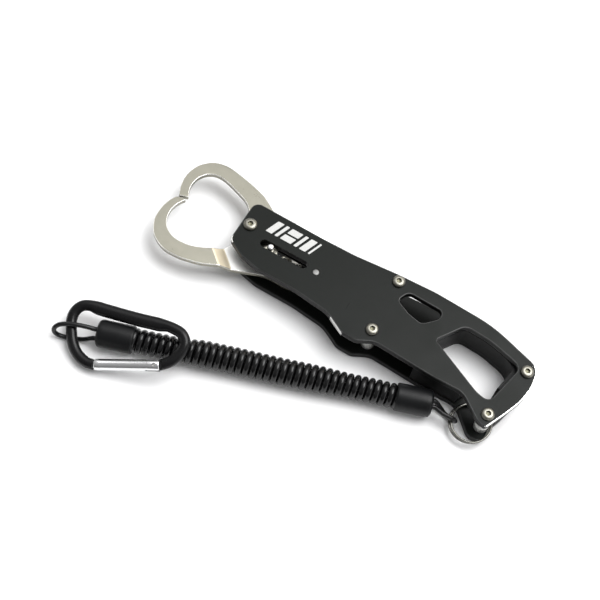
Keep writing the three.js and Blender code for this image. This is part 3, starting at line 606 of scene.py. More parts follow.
def temp_object(bm):
    mesh = bpy.data.meshes.new("cut")
    bmesh.ops.recalc_face_normals(bm, faces=bm.faces)
    bm.to_mesh(mesh)
    bm.free()
    ob = bpy.data.objects.new("cut", mesh)
    bpy.context.scene.collection.objects.link(ob)
    return ob


def discard(ob):
    mesh = ob.data
    bpy.data.objects.remove(ob)
    bpy.data.meshes.remove(mesh)


def combine(ob, other_bm, operation):
    other = temp_object(other_bm)
    modifier = ob.modifiers.new("bool", "BOOLEAN")
    modifier.operation = operation
    modifier.solver = "EXACT"
    modifier.object = other
    bpy.context.view_layer.update()
    depsgraph = bpy.context.evaluated_depsgraph_get()
    mesh = bpy.data.meshes.new_from_object(ob.evaluated_get(depsgraph))
    old = ob.data
    ob.modifiers.clear()
    ob.data = mesh
    bpy.data.meshes.remove(old)
    discard(other)


def carve(bm, cutters, weld=None):
    """Joins weld to the solid, then takes each cutter away from it."""
    ob = temp_object(bm)
    if weld is not None:
        combine(ob, weld, "UNION")
    for cutter in cutters:
        combine(ob, cutter, "DIFFERENCE")
    bm = bmesh.new()
    bm.from_mesh(ob.data)
    discard(ob)
    bmesh.ops.remove_doubles(bm, verts=bm.verts, dist=1e-6)
    return bm


def sort_faces(bm):
    """Material by the way a face looks: 0 flats, 1 broken edges, 2 cut walls."""
    bm.normal_update()
    for f in bm.faces:
        up = abs(f.normal.z)
        f.material_index = 0 if up > 0.97 else (2 if up < 0.12 else 1)


# ------------------------------------------------------------------ finished objects
def add_object(name, bm, materials, sharp, weighted=False, bevel=None):
    """sharp: angle in degrees past which an edge is hard; bevel: width in mm."""
    bmesh.ops.recalc_face_normals(bm, faces=bm.faces)
    mesh = bpy.data.meshes.new(name)
    bm.to_mesh(mesh)
    bm.free()
    for material in materials:
        mesh.materials.append(material)
    mesh.shade_smooth()
    mesh.set_sharp_from_angle(angle=sharp * DEG)
    ob = bpy.data.objects.new(name, mesh)
    bpy.context.scene.collection.objects.link(ob)
    if weighted:
        modifier = ob.modifiers.new("weighted", "WEIGHTED_NORMAL")
        modifier.keep_sharp = True
        modifier.mode = "FACE_AREA"
    if bevel:
        modifier = ob.modifiers.new("edge", "BEVEL")
        modifier.width = bevel * MM
        modifier.segments = 2
        modifier.limit_method = "ANGLE"
        modifier.angle_limit = 45 * DEG
    return ob


def piece(name, bm, materials, body, slot, sharp, **extras):
    """Visual piece that rides on a body and stands in for the CAD node of the same name."""
    ob = add_object(name + "_v", bm, materials, sharp, **extras)
    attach(ob, body)
    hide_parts(name)


def stretch_piece(name, bm, material):
    """Visual piece that spans two bodies, baked in place; it rides on neither and stands in for
    the CAD node of the same name.
    """
    ob = add_object(name + "_v", bm, [material], sharp=50)
    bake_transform(ob)
    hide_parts(name)


def turned(name, profile, place, material, body="grip_frame", slot="steel", segments=56,
           sharp=40):
    piece(name, lathe_bm(profile, segments, shift_to(*place)), [material], body, slot, sharp)


# ------------------------------------------------------------------ side plates
# outlines: x, y, corner radius
def plate_shape(tail):
    return rounded([
        (-4.15, 11.6, 3.8), (-4.0, -10.6, 3.4), (4.0, -15.0, 8), (13.5, -17.1, 12),
        (32, -17.2, 30), (48.5, -18.9, 14), (58.0, -24.0, 5.5), (65.2, -24.2, 5),
        (72.4, -20.3, 9), (100, -21.6, 30), (114.3, -21.2, 9), *tail,
        (112, 13.2, 60), (84, 14.3, 60), (66, 13.4, 60), (46, 11.5, 60), (30, 11.2, 60)])


def hole_shape(end):
    return rounded([
        (94.0, -5.8, 1.4), (102.2, 6.6, 4.6), (114, 6.1, 30), (124.5, 3.5, 14), *end,
        (119.3, -17.9, 12), (104, -10.6, 60)])


top_outline = plate_shape([
    (125.4, -29.7, 5), (129.3, -30.0, 1.6), (133.1, -21.8, 25), (136.9, -12.6, 25),
    (138.4, -4.0, 20), (137.2, 5.6, 6.5)])
low_outline = plate_shape([
    (124.6, -31.2, 5.4), (131.2, -31.0, 5.4), (131.4, -23.6, 20), (133.5, -17.8, 25),
    (135.3, -11.5, 25), (136.8, -4.0, 20), (136.6, 5.6, 6.5)])
top_hole = hole_shape([(130.2, 1.6, 3.6), (125.4, -19.1, 3.2)])
low_hole = hole_shape([(128.2, 1.0, 4.6), (124.2, -18.9, 3.2)])
cutout = rounded([
    (71.6, 2.3, 2.2), (74.2, 7.9, 3.4), (90.6, 7.5, 2.4), (90.9, 3.6, 3), (85.4, -2.4, 3.4),
    (79.0, -1.1, 6)], step=5)
pin_slot = slot_around([(9.8, PIN[1]), (29.1, PIN[1])], PLATE_SLOT_R)
PLATE_CHAMFER = 0.5
COUNTERSINK = [(0, -0.5), (3.43, -0.5), (1.6, 1.33), (1.6, 1.5), (0, 1.5)]     # r, z


def plate_bm(loops, z0, z1, countersunk):
    # slots and bores are cut sharp, unlike the chamfered outline
    openings = [pin_slot, circle(*GUIDE, PIN_R + 0.03)]
    openings += [circle(x, y, SCREW_R + 0.12, 48) for x, y in SCREWS.values()]
    cutters = [through(outline, z0, z1) for outline in openings]
    if countersunk:
        cutters += [lathe_bm(COUNTERSINK, 48, shift_to(*place)) for place in SCREWS.values()]
    bm = carve(slab_bm(loops, z0, z1, PLATE_CHAMFER, 2), cutters)
    sort_faces(bm)
    return bm


def paint_edge_highlights(bm):
    """Painted highlights and reflections: chamfers at the tail and the jaw-side corner, and
    chamfers and walls at the step near x = 55, take bright metal.
    """
    for f in bm.faces:
        x, y = plan_mm(f.calc_center_median())
        normal = f.normal
        if f.material_index == 0 or normal.z < -0.2:
            continue
        chamfer = f.material_index == 1 and normal.z > 0.2
        outside_hole = (x - HOLE_MID[0]) ** 2 + (y - HOLE_MID[1]) ** 2 > 20.0 ** 2
        tail = chamfer and x > 127.0 and normal.x > 0.15 and outside_hole
        jaw_corner = chamfer and x < -1.5 and y < -2.0
        step = 52.0 < x < 58.4 and y < -20.0 and normal.x < -0.15
        if tail or jaw_corner or step:
            f.material_index = 3


top_bm = plate_bm([top_outline, top_hole, cutout], Z_TOP0, Z_TOP1, countersunk=False)
# painted highlights and reflections on chosen chamfers and walls
paint_edge_highlights(top_bm)
# the cut walls, index 2, take the darker wall anodising as painted shade, here and on the bottom
# plate
piece("top_plate", top_bm, [MAT_PLATE, MAT_CHAMFER, MAT_WALL_SHADED, MAT_EDGE_HIGHLIGHT],
      "grip_frame", "plate", sharp=28, weighted=True)
# the bottom plate takes the darker base anodising as painted shade
piece("bottom_plate", plate_bm([low_outline, low_hole], 0.0, PLATE_T, countersunk=True),
      [MAT_BASE_SHADED, MAT_CHAMFER, MAT_WALL_SHADED, MAT_EDGE_HIGHLIGHT],
      "grip_frame", "plate", sharp=28, weighted=True)

# ------------------------------------------------------------------ printed mark: slanted bars
# start along the print, width, low and high edge across it
BARS = [
    (0.0, 2.6, 0.0, 6.2), (3.7, 1.3, 0.0, 6.2), (6.1, 4.6, 3.5, 6.2), (6.1, 4.6, 0.0, 2.7),
    (11.8, 1.3, 0.0, 6.2), (14.2, 2.6, 0.0, 6.2), (17.9, 0.8, 0.0, 6.2)]


def mark_corner(along, across):
    """Corner row of a bar: the print's place, stretch and slant, then a corner radius."""
    return 6.9 + along * 1.17 + 0.42 * across, 1.15 + across * 1.13, 0.25


mark_bm = bmesh.new()
for start, width, low, high in BARS:
    end = start + width
    bar = rounded([mark_corner(start, low), mark_corner(end, low), mark_corner(end, high),
                   mark_corner(start, high)], step=15)
    bar_bm = slab_bm([bar], Z_TOP1 + 0.005, Z_TOP1 + 0.045, bevel=0.012)
    bar_mesh = bpy.data.meshes.new("bar")
    bar_bm.to_mesh(bar_mesh)
    bar_bm.free()
    mark_bm.from_mesh(bar_mesh)
    bpy.data.meshes.remove(bar_mesh)
mark = add_object("printed_mark", mark_bm, [MAT_PRINT], sharp=30, weighted=True)
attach(mark, "grip_frame")

# ------------------------------------------------------------------ jaws
OPEN_UPPER, OPEN_LOWER = 18.0, 13.0     # degrees over the full travel
JAW_BEVEL = 0.28


def cam_line(opening):
    """Path of the slide pin in a jaw that turns by opening over the travel."""
    out = []
    for i in range(21):
        slide = -0.15 + (TRAVEL + 0.3) * i / 20
        turn = opening * DEG * slide / TRAVEL
        x, y = PIN[0] + slide, PIN[1]
        out.append((x * cos(turn) - y * sin(turn), x * sin(turn) + y * cos(turn)))
    return out


def jaw_bm(outline, opening):
    loops = [outline, circle(0, 0, SLEEVE_R + 0.07), slot_around(cam_line(opening), SLOT_R)]
    bm = slab_bm(loops, Z_JAW, Z_JAW + JAW_T, JAW_BEVEL, 2)
    sort_faces(bm)
    return bm


# x, y, corner radius
upper_outline = eased(rounded([
    (-35.8, -1.1, 0.4), (-38.2, 4.2, 8), (-38.9, 10.6, 8), (-36.9, 17.4, 7), (-31.8, 22.6, 8),
    (-24.8, 24.0, 9), (-13.5, 21.9, 14), (-3.4, 19.2, 16), (9.5, 11.0, 14), (20.0, 10.3, 14),
    (30.6, 9.2, 3.6), (33.1, 3.6, 3.4), (26.0, -1.6, 8), (17.6, -8.3, 3.6), (10.2, -9.6, 4),
    (5.0, -4.6, 5), (-1.2, -5.2, 4), (-4.2, -1.4, 3), (-3.4, 6.5, 5), (-8.5, 12.3, 8),
    (-18.2, 15.6, 14), (-24.6, 17.4, 7), (-30.4, 16.4, 6), (-33.7, 11.2, 6), (-34.2, 5.4, 8),
    (-31.7, 0.35, 0.4)]), 1.9, tips=[(-35.8, -1.1), (-31.7, 0.35)])
lower_outline = eased(rounded([
    (-31.7, -0.95, 0.4), (-34.2, -4.6, 6), (-35.1, -10.6, 7), (-32.6, -17.0, 6),
    (-26.6, -20.5, 6), (-18.6, -20.1, 12), (-9.2, -15.9, 14), (-3.6, -9.6, 6), (-4.6, -1.2, 4),
    (-2.6, 4.4, 3), (3.2, 4.8, 4), (9.5, -0.4, 6), (16.0, -0.9, 4), (27.4, -6.4, 5),
    (31.2, -9.8, 3.2), (29.2, -14.1, 2.8), (15.6, -13.9, 6), (10.6, -16.0, 8),
    (4.3, -18.6, 12), (-2.6, -21.4, 14), (-9.5, -25.0, 16), (-19.0, -27.4, 10),
    (-27.0, -27.7, 8), (-34.8, -24.0, 8), (-39.0, -16.6, 8), (-39.1, -8.6, 8),
    (-37.3, -2.9, 4), (-35.8, -1.45, 0.3)]), 1.9, tips=[(-31.7, -0.95), (-35.8, -1.45)])

# the bevels take the lighter edge steel as painted highlight
JAW_MATERIALS = [MAT_JAW, MAT_JAW_EDGE_HIGHLIGHT, MAT_JAW]
piece("upper_jaw", jaw_bm(upper_outline, OPEN_UPPER), JAW_MATERIALS,
      "upper_jaw_body", "jaw", sharp=30, weighted=True)

# the lower jaw steps down to its tail over a sloping web that starts on this line
WEB_LINE = Vector((-9.3, -16.2)), Vector((-2.6, -22.0))
WEB = 5.5                               # width of the slope
WEB_LEAD = 0.35                         # how far the bend runs past the slope on each side
WEB_RUN = WEB + 2 * WEB_LEAD
WEB_CUTS = 16
BEND = 0.22                             # share of the run taken by each bend radius
web_start = WEB_LINE[0]
web_along = (WEB_LINE[1] - web_start).normalized()
web_across = Vector((-web_along.y, web_along.x))


def past_web_line(point):
    return (Vector(plan_mm(point)) - web_start).dot(web_across)


def web_drop(share):
    """Share of the drop: a straight slope between two small bends."""
    if share < BEND:
        return (share / BEND) ** 2 * BEND * 0.5 / (1 - BEND)
    if share > 1 - BEND:
        return 1 - ((1 - share) / BEND) ** 2 * BEND * 0.5 / (1 - BEND)
    return (share - BEND * 0.5) / (1 - BEND)


lower_bm = jaw_bm(lower_outline, -OPEN_LOWER)
for i in range(WEB_CUTS + 1):
    cut = web_start + web_across * (-WEB_LEAD + WEB_RUN * i / WEB_CUTS)
    bmesh.ops.bisect_plane(
        lower_bm, geom=lower_bm.verts[:] + lower_bm.edges[:] + lower_bm.faces[:],
        plane_co=pos(cut.x, cut.y), plane_no=(web_across.x, web_across.y, 0), dist=1e-7)
for v in lower_bm.verts:
    share = min(1, max(0, (past_web_line(v.co) + WEB_LEAD) / WEB_RUN))
    v.co.z -= (Z_JAW - Z_LOWTAIL) * web_drop(share) * MM
# upward faces on the web take the lighter web steel as painted light; those past it take the
# near-white tail steel as painted highlight
for f in lower_bm.faces:
    past = past_web_line(f.calc_center_median())
    if f.material_index == 0 and f.normal.z > 0.3:
        if 0.2 < past < WEB - 0.1:
            f.material_index = 3
        elif past >= WEB - 0.1:
            f.material_index = 4
piece("lower_jaw", lower_bm, JAW_MATERIALS + [MAT_WEB_LIT, MAT_TAIL_HIGHLIGHT],
      "lower_jaw_body", "jaw", sharp=24, weighted=True)

# ------------------------------------------------------------------ trigger and its pins
# x, y, corner radius
trigger_outline = eased(rounded([
    (9.3, -5.0, 4.2), (9.6, -9.2, 3.6), (41.0, -9.1, 2.5), (44.5, -8.0, 3), (59.2, -8.0, 3.0),
    (59.2, -2.0, 3.0), (46.0, -2.0, 5), (39.5, 4.5, 6), (38.0, 11.2, 3), (31.9, 17.3, 12),
    (24.6, 22.7, 8), (19.0, 25.2, 3.0), (15.4, 17.8, 8), (15.0, 9.0, 6), (11.8, 1.5, 6)]), 0.8)
guide_slot = slot_around(
    [(GUIDE[0] - TRAVEL - 0.15, GUIDE[1]), (GUIDE[0] + 0.15, GUIDE[1])], SLOT_R)
openings = [guide_slot, circle(*PIN, PIN_R + 0.02), circle(*POST, 1.22)]
trigger_bm = carve(slab_bm([trigger_outline], Z_TRIG, Z_TRIG_TOP, bevel=0.3, steps=2),
                   [through(outline, Z_TRIG, Z_TRIG_TOP) for outline in openings])
sort_faces(trigger_bm)
# the fin's bevels take the darker fin steel as painted shade; its walls take the lighter edge
# steel as painted highlight
piece("trigger", trigger_bm, [MAT_MIRROR, MAT_FIN_EDGE_SHADED, MAT_JAW_EDGE_HIGHLIGHT],
      "trigger_body", "polished", sharp=30, weighted=True)

# profiles: r, z, corner radius
turned("slide_pin", fillet([
    (0, 0.35), (PIN_R, 0.35, 0.22), (PIN_R, 16.6, 0.3), (1.3, 17.0, 0.4), (0.8, 17.3, 0.6),
    (0, 17.35)], step=8), PIN, MAT_MIRROR, body="trigger_body", slot="polished")
WASHER_Z0, WASHER_Z1 = Z_TRIG_TOP + 0.04, Z_TOP0 - 0.1
turned("slide_pin_washer", [
    (PIN_R + 0.03, WASHER_Z0 + 0.08), (PIN_R + 0.1, WASHER_Z0), (3.28, WASHER_Z0),
    (3.4, WASHER_Z0 + 0.12), (3.4, WASHER_Z1 - 0.2), (3.33, WASHER_Z1 - 0.07),
    (3.2, WASHER_Z1), (PIN_R + 0.25, WASHER_Z1), (PIN_R + 0.03, WASHER_Z1 - 0.15),
    (PIN_R + 0.03, WASHER_Z0 + 0.08)], PIN, MAT_SCREW, body="trigger_body")
turned("guide_pin", fillet([
    (0, 0.05), (PIN_R, 0.05, 0.2), (PIN_R, 17.0, 0.2), (PIN_R - 0.3, 17.22, 0.3), (0, 17.3)],
    step=10), GUIDE, MAT_PIN, segments=48)
turned("spring_post", fillet([
    (0, 7.3), (1.9, 7.3, 0.15), (1.9, 7.8, 0.15), (POST_R, 8.0, 0.1),
    (POST_R, Z_TRIG_TOP - 0.1, 0.15), (0, Z_TRIG_TOP - 0.1)]),
    POST, MAT_STEEL, body="trigger_body", segments=40)


# ------------------------------------------------------------------ sleeve, spacers, standoffs
def bushing(name, bore, radius, z0, z1, place, chamfer=0.12, groove=False,
            material=MAT_STEEL):
    profile = [(bore, z0 + chamfer), (bore + chamfer, z0), (radius - chamfer, z0),
               (radius, z0 + chamfer)]
    if groove:      # shallow relief round the middle
        middle, waist = (z0 + z1) / 2, radius - 0.12
        profile += [(radius, middle - 1.3), (waist, middle - 1.1), (waist, middle + 1.1),
                    (radius, middle + 1.3)]
    profile += [(radius, z1 - chamfer), (radius - chamfer, z1), (bore + chamfer, z1),
                (bore, z1 - chamfer), (bore, z0 + chamfer)]
    turned(name, profile, place, material, sharp=25)


PIVOT = SCREWS["pivot"]
SPACER_BORE, SPACER_R = SLEEVE_R + 0.06, 4.0
bushing("pivot_sleeve", BORE_R, SLEEVE_R, PLATE_T, Z_TOP0, PIVOT)
bushing("pivot_spacer", SPACER_BORE, SPACER_R, Z_JAW + JAW_T + 0.1, Z_TOP0 - 0.08, PIVOT)
bushing("pivot_spacer_lower", SPACER_BORE, SPACER_R, PLATE_T + 0.08, Z_LOWTAIL - 0.1, PIVOT)
# standoff mid_upper takes the darker base anodising as painted shade
for key, place in SCREWS.items():
    if key != "pivot":
        # the other standoffs take the lighter standoff steel as painted light
        bushing("standoff_" + key, BORE_R, STAND_R, PLATE_T, Z_TOP0, place, chamfer=0.2,
                groove=True, material=MAT_BASE_SHADED if key == "mid_upper" else MAT_STANDOFF_LIT)

# ------------------------------------------------------------------ spacer round the finger hole
spacer_edge = [
    (HOLE_MID[0] + (x - HOLE_MID[0]) * 0.965, HOLE_MID[1] + (y - HOLE_MID[1]) * 0.95)
    for x, y in low_outline]
spacer_bm = carve(
    slab_bm([spacer_edge, low_hole], PLATE_T + 0.04, Z_TOP0 - 0.04), [
        # everything on the jaw side of x = 91.5
        box_bm(pos(60, -60, 0), pos(91.5, 60, 30)),
        box_bm(pos(-60, -60, 0), pos(61, 60, 30)),
        # room for the split ring and the upper tail standoff
        disc_bm(14.4, 0, 20, shift_to(*SCREWS["tail_lower"]), segments=96),
        disc_bm(STAND_R + 0.12, 0, 20, shift_to(*SCREWS["tail_upper"])),
        box_bm(pos(126, -40, 0), pos(145, -12.5, 30))])


def keep_largest_part(bm):
    left_over, parts = set(bm.verts), []
    while left_over:
        stack, part = [left_over.pop()], []
        while stack:
            v = stack.pop()
            part.append(v)
            for edge in v.link_edges:
                other = edge.other_vert(v)
                if other in left_over:
                    left_over.discard(other)
                    stack.append(other)
        parts.append(part)
    parts.sort(key=len)
    for part in parts[:-1]:
        bmesh.ops.delete(bm, geom=part, context="VERTS")


keep_largest_part(spacer_bm)
# the outer corner's side faces take the lighter standoff steel, whose lightness is painted light
for f in spacer_bm.faces:
    x, y = plan_mm(f.calc_center_median())
    if abs(f.normal.z) < 0.3 and 125.0 < x < 131.0 and y < -28.5:
        f.material_index = 1
piece("back_spacer", spacer_bm, [MAT_FILLER, MAT_STANDOFF_LIT],
      "grip_frame", "filler", sharp=30, weighted=True)

# ------------------------------------------------------------------ screws
HEAD_R, PIVOT_HEAD_R, HEAD_H = 2.85, 3.05, 1.65
HEX_FLATS = 2.0
THREAD_PITCH, THREAD_DEPTH = 0.5, 0.12


def thread(z0, z1):
    half = THREAD_PITCH / 2
    return [(SCREW_R - THREAD_DEPTH * (k % 2), z0 + half * k)
            for k in range(ceil((z1 - z0) / half))]


def screw(name, outer, z_face, z_floor, place, turn, side=1):
    """outer: (r, z) from the shank end to the rim; side: 1 for a socket open to +z, else -1."""
    segments = 48
    bm = bmesh.new()
    rings = [ring(bm, r, z, segments, turn) for r, z in outer]
    for flats, z in ((HEX_FLATS + 0.22, z_face), (HEX_FLATS, z_face - 0.12 * side),
                     (HEX_FLATS, z_floor), (HEX_FLATS * 0.82, z_floor - 0.06 * side)):
        rings.append(ring(bm, flats / 2, z, segments, turn, hexagon=True))
    rings.append(ring(bm, 0, z_floor - 0.35 * side, segments))
    for span in skin(bm, rings)[len(outer) + 1:]:
        for f in span:
            f.material_index = 1
    bm.transform(shift_to(*place))
    piece(name, bm, [MAT_SCREW, MAT_SOCKET], "grip_frame", "steel", sharp=28)


def top_profile(radius):
    """Button head on the top plate."""
    z = Z_TOP1
    dome = []
    for j in range(9):
        angle = j / 8 * pi / 2
        dome.append((radius * 0.5 + radius * 0.5 * cos(angle),
                     z + 0.42 + (HEAD_H - 0.42) * sin(angle) ** 0.9))
    return ([(0, z - 5.8), (1.2, z - 5.8)] + thread(z - 5.5, z - 1.4)
            + [(SCREW_R - 0.02, z - 1.3), (SCREW_R - 0.02, z + 0.005), (radius - 0.1, z + 0.01),
               (radius, z + 0.1)] + dome)


# countersunk head in the bottom plate
BOTTOM_PROFILE = [(0, 6.0), (1.2, 6.0)] + thread(4.0, 5.8)[::-1] + [
    (SCREW_R - 0.02, 3.8), (SCREW_R, 1.41), (2.74, 0.16), (2.78, 0.09), (2.72, 0.04)]

for i, (key, place) in enumerate(SCREWS.items()):
    head = PIVOT_HEAD_R if key == "pivot" else HEAD_R
    screw("top_screw_" + key, top_profile(head), z_face=Z_TOP1 + HEAD_H,
          z_floor=Z_TOP1 + 0.55, place=place, turn=0.35 + i * 0.83)
    screw("bottom_screw_" + key, BOTTOM_PROFILE, z_face=0.03, z_floor=1.1,
          place=place, turn=0.1 + i * 0.61, side=-1)

# ------------------------------------------------------------------ return spring
SPRING_WIRE_R, SPRING_R, SPRING_Z = 0.3, 1.75, 9.3
SPRING_X0, SPRING_X1, SPRING_TURNS = 40.2, 51.4, 12
HOOK_GAP = SPRING_WIRE_R + 0.08
guide_hook_r, post_hook_r = PIN_R + HOOK_GAP, POST_R + HOOK_GAP
HOOK_TURN = 2 * pi - 120 * DEG


def hook(centre, radius, first, steps, count):
    """Open wire eye, turning clockwise as seen from +z."""
    angles = [first - HOOK_TURN * i / steps for i in range(count)]
    return [Vector((centre[0] + radius * cos(t), centre[1] + radius * sin(t), SPRING_Z))
            for t in angles]


points = hook(GUIDE, guide_hook_r, -60 * DEG, steps=30, count=31)
points.append(Vector((38.7, GUIDE[1] + 0.9, SPRING_Z)))
steps = SPRING_TURNS * 20
for i in range(steps + 1):
    angle = 2 * pi * i / 20
    points.append(Vector((SPRING_X0 + (SPRING_X1 - SPRING_X0) * i / steps,
                          GUIDE[1] + SPRING_R * cos(angle), SPRING_Z + SPRING_R * sin(angle))))
points.append(Vector((52.9, POST[1] + 0.9, SPRING_Z)))
points += hook(POST, post_hook_r, 120 * DEG, steps=27, count=28)
stretch_piece(
    "return_spring",
    sweep_bm(catmull(points, 520), (SPRING_WIRE_R, SPRING_WIRE_R), sides=10, cap=0.3),
    MAT_SPRING)

# ------------------------------------------------------------------ split ring
RING_R, RING_WIRE, RING_PITCH = 8.5, 0.5, 1.07
RING_SPLAY = 0.7                        # sideways shift of the upper turn
RING_ANGLE, RING_OFFSET = 200, 4.9      # ring centre, seen from the lower tail screw
ring_x = SCREWS["tail_lower"][0] + RING_OFFSET * cos(RING_ANGLE * DEG)
ring_y = SCREWS["tail_lower"][1] + RING_OFFSET * sin(RING_ANGLE * DEG)
ring_z = PLATE_T + 0.25 + RING_WIRE
points = []
for i in range(241):
    turns = 1.97 * i / 240
    angle = 330 * DEG + 2 * pi * turns
    climb = smooth((turns - 0.82) / 0.3)
    points.append(Vector((ring_x + 0.94 * RING_SPLAY * climb + RING_R * cos(angle),
                          ring_y + 0.33 * RING_SPLAY * climb + RING_R * sin(angle),
                          ring_z + RING_PITCH * climb)))
piece("split_ring",
      sweep_bm(points, (RING_WIRE * 1.04, RING_WIRE * 0.98), sides=14, up=(0, 0, 1), cap=0.25),
      [MAT_NICKEL], "ring_body", "nickel", sharp=50)


# ------------------------------------------------------------------ lanyard
def left_of(direction):
    return Vector((-direction.y, direction.x, 0))


LANYARD_Z = 6.2
CLIP_CAP = Vector((-22.83, -71.12, LANYARD_Z))      # cap centres
RING_CAP = Vector((98.1, -30.2, LANYARD_Z))
AXIS = (RING_CAP - CLIP_CAP).normalized()
SIDE = left_of(AXIS)
UP = Vector((0, 0, 1))
CORD_R, COIL_R, COIL_PITCH, LOOP_R = 1.45, 3.95, 3.05, 1.0
COIL_SWELL, COIL_BOW = 0.5, 0.55        # extra radius and sideways bow of the middle
CAP_R, CAP_L, CAP_BORE, CAP_DEPTH = 6.05, 15.5, 5.55, 3.6

# end caps, open towards the coil: r, z, corner radius
half = CAP_L / 2
cap_profile = fillet([
    (0, -half + 0.25), (1.6, -half + 0.2, 0.4), (CAP_R - 1.3, -half, 0.8),
    (CAP_R - 0.25, -half + 0.75, 1.2), (CAP_R, -half + 2.4, 2.0), (CAP_R - 0.05, half - 0.6, 0.5),
    (CAP_R - 0.35, half, 0.3), (CAP_BORE, half, 0.15), (CAP_BORE - 0.05, half - CAP_DEPTH, 0.3),
    (0, half - CAP_DEPTH)], step=8)
for name, centre, inward, body in (
        ("end_cap_clip", CLIP_CAP, AXIS, "lanyard_clip_end"),
        ("end_cap_ring", RING_CAP, -AXIS, "lanyard_ring_end")):
    z_axis = inward.normalized()
    matrix = axes_matrix(SIDE, z_axis.cross(SIDE), z_axis, pos(*centre))
    piece(name, lathe_bm(cap_profile, 72, matrix), [MAT_RUBBER], body, "rubber", sharp=50)

# coil
coil_start = CAP_L / 2 - CAP_DEPTH + CORD_R + 0.12
coil_end = (RING_CAP - CLIP_CAP).length - coil_start
turns = (coil_end - coil_start) / COIL_PITCH
steps = round(turns * 30)
points = []
for i in range(steps + 1):
    share = i / steps
    angle = 2 * pi * turns * share
    # the last part of a turn tucks in towards the axis inside the cap
    tuck = min(1, min(share, 1 - share) * turns / 0.35)
    along = coil_start + (coil_end - coil_start) * share
    swell = COIL_SWELL * smooth((along - 30) / 8) * (1 - smooth((along - 84) / 16))
    radius = COIL_R * (0.82 + 0.18 * tuck) + swell
    bow = (COIL_BOW * smooth((along - 26) / 12) * (1 - 0.6 * smooth((along - 50) / 20))
           * smooth((118 - along) / 8))
    points.append(CLIP_CAP + AXIS * along + SIDE * (bow + radius * cos(angle))
                  - UP * (radius * sin(angle)))
stretch_piece(
    "coil_cord", sweep_bm(points, (CORD_R, CORD_R), sides=16, cap=0.4), MAT_CORD)


def cap_mouth(centre, outward):
    return centre + outward * (CAP_L / 2 + 0.1)


def cord_loop(name, body, centre, outward, heading, leave, rows, back, count):
    """Cord out of a cap, round a bar and back.

    heading: level direction of the loop; rows: along it, z, and to its left.
    leave, back: (left of outward, z) at the two cap points, in the order they are passed.
    """
    mouth = cap_mouth(centre, outward)
    outside = mouth + outward * 1.2
    inside = centre + outward * (CAP_L / 2 - 0.5)

    def beside(point, side, offset, z):
        return Vector((point.x + side.x * offset, point.y + side.y * offset, z))

    side = left_of(outward)
    across = left_of(heading)
    controls = [beside(inside, side, *leave[0]), beside(outside, side, *leave[1])]
    for along, z, left in rows:
        controls.append(Vector((mouth.x + heading.x * along + across.x * left,
                                mouth.y + heading.y * along + across.y * left, z)))
    controls += [beside(outside, side, *back[0]), beside(inside, side, *back[1])]
    bm = sweep_bm(catmull(controls, count), (LOOP_R, LOOP_R), sides=18, cap=0.0)
    piece(name, bm, [MAT_LOOP], body, "cord", sharp=50)


z, r = 5.15, 3.6                        # height and radius of the turn round the carabiner
cord_loop(
    "cord_loop_clip", "lanyard_clip_end", CLIP_CAP, -AXIS,
    heading=Vector((-0.924, -0.383, 0)).normalized(), leave=[(-0.7, 7.6), (-0.7, 7.6)],
    rows=[
        (5, 8.5, -0.9), (9.4, z + r + 0.3, -0.8), (13, z + r + 0.15, -0.6),
        (16.2, z + r * 0.8, -0.1), (18.0, z + r * 0.3, 0.7), (18.2, z - r * 0.3, 1.3),
        (17.0, z - r * 0.8, 1.7), (14.2, 1.15, 1.9), (10.2, 1.1, 2.0), (6, 2.0, 2.2)],
    back=[(2.2, 4.6), (2.2, 4.7)], count=150)

# the other loop turns round the split ring at this angle of the ring
CROSSING = 195 * DEG
crossing = Vector((ring_x + RING_R * cos(CROSSING), ring_y + RING_R * sin(CROSSING),
                   ring_z + RING_PITCH / 2))
mouth = cap_mouth(RING_CAP, AXIS)
heading = Vector((crossing.x - mouth.x, crossing.y - mouth.y, 0))
reach = heading.length
heading.normalize()
z, r = crossing.z, 2.7
cord_loop(
    "cord_loop_ring", "lanyard_ring_end", RING_CAP, AXIS, heading,
    leave=[(-1.7, 7.3), (-1.7, 7.3)],
    rows=[
        (reach - 3.2, z + r + 0.4, -1.4), (reach - 0.4, z + r + 0.1, -1.0),
        (reach + 1.6, z + r * 0.8, -0.5), (reach + 2.7, z + r * 0.1, 0.1),
        (reach + 1.7, z - r * 0.78, 0.7), (reach - 0.4, z - r - 0.05, 1.1),
        (reach - 3.4, z - r + 0.4, 1.6)],
    back=[(2.0, 5.0), (2.0, 5.0)], count=110)

# ------------------------------------------------------------------ carabiner
# modelled flat about its own origin, x along the spine, then tilted into place
CAR_ORIGIN = Vector((-40.65, -77.86, 5.35))
car_x = Vector((0.92217, 0.33915, 0.18597)).normalized()
car_z = Vector((-0.07624, -0.31198, 0.94703)).normalized()
car_y = car_z.cross(car_x).normalized()
car_x = car_y.cross(car_z).normalized()
CAR_MATRIX = axes_matrix(car_x, car_y, car_z, pos(*CAR_ORIGIN))
GATE_R, GATE_PIVOT, NOSE = 2.5, (38.4, -11.3), (11.2, -13.8)
CAR_CENTRE_LINE = [                     # x, y from the nose round to the gate pivot
    (12.6, -13.75), (10.2, -13.4), (7.3, -12.2), (4.2, -9.6), (1.8, -5.8), (0.25, -0.6),
    (-0.45, 4.2), (0.5, 7.9), (3.1, 10.4), (7.0, 10.9), (14, 9.75), (22.9, 8.25), (30, 7.2),
    (37.3, 6.3), (43.3, 5.1), (47.6, 3.0), (49.5, -0.4), (48.4, -4.6), (45.4, -8.3),
    (42.2, -10.2), (39.4, -11.15), (36.7, -11.45)]

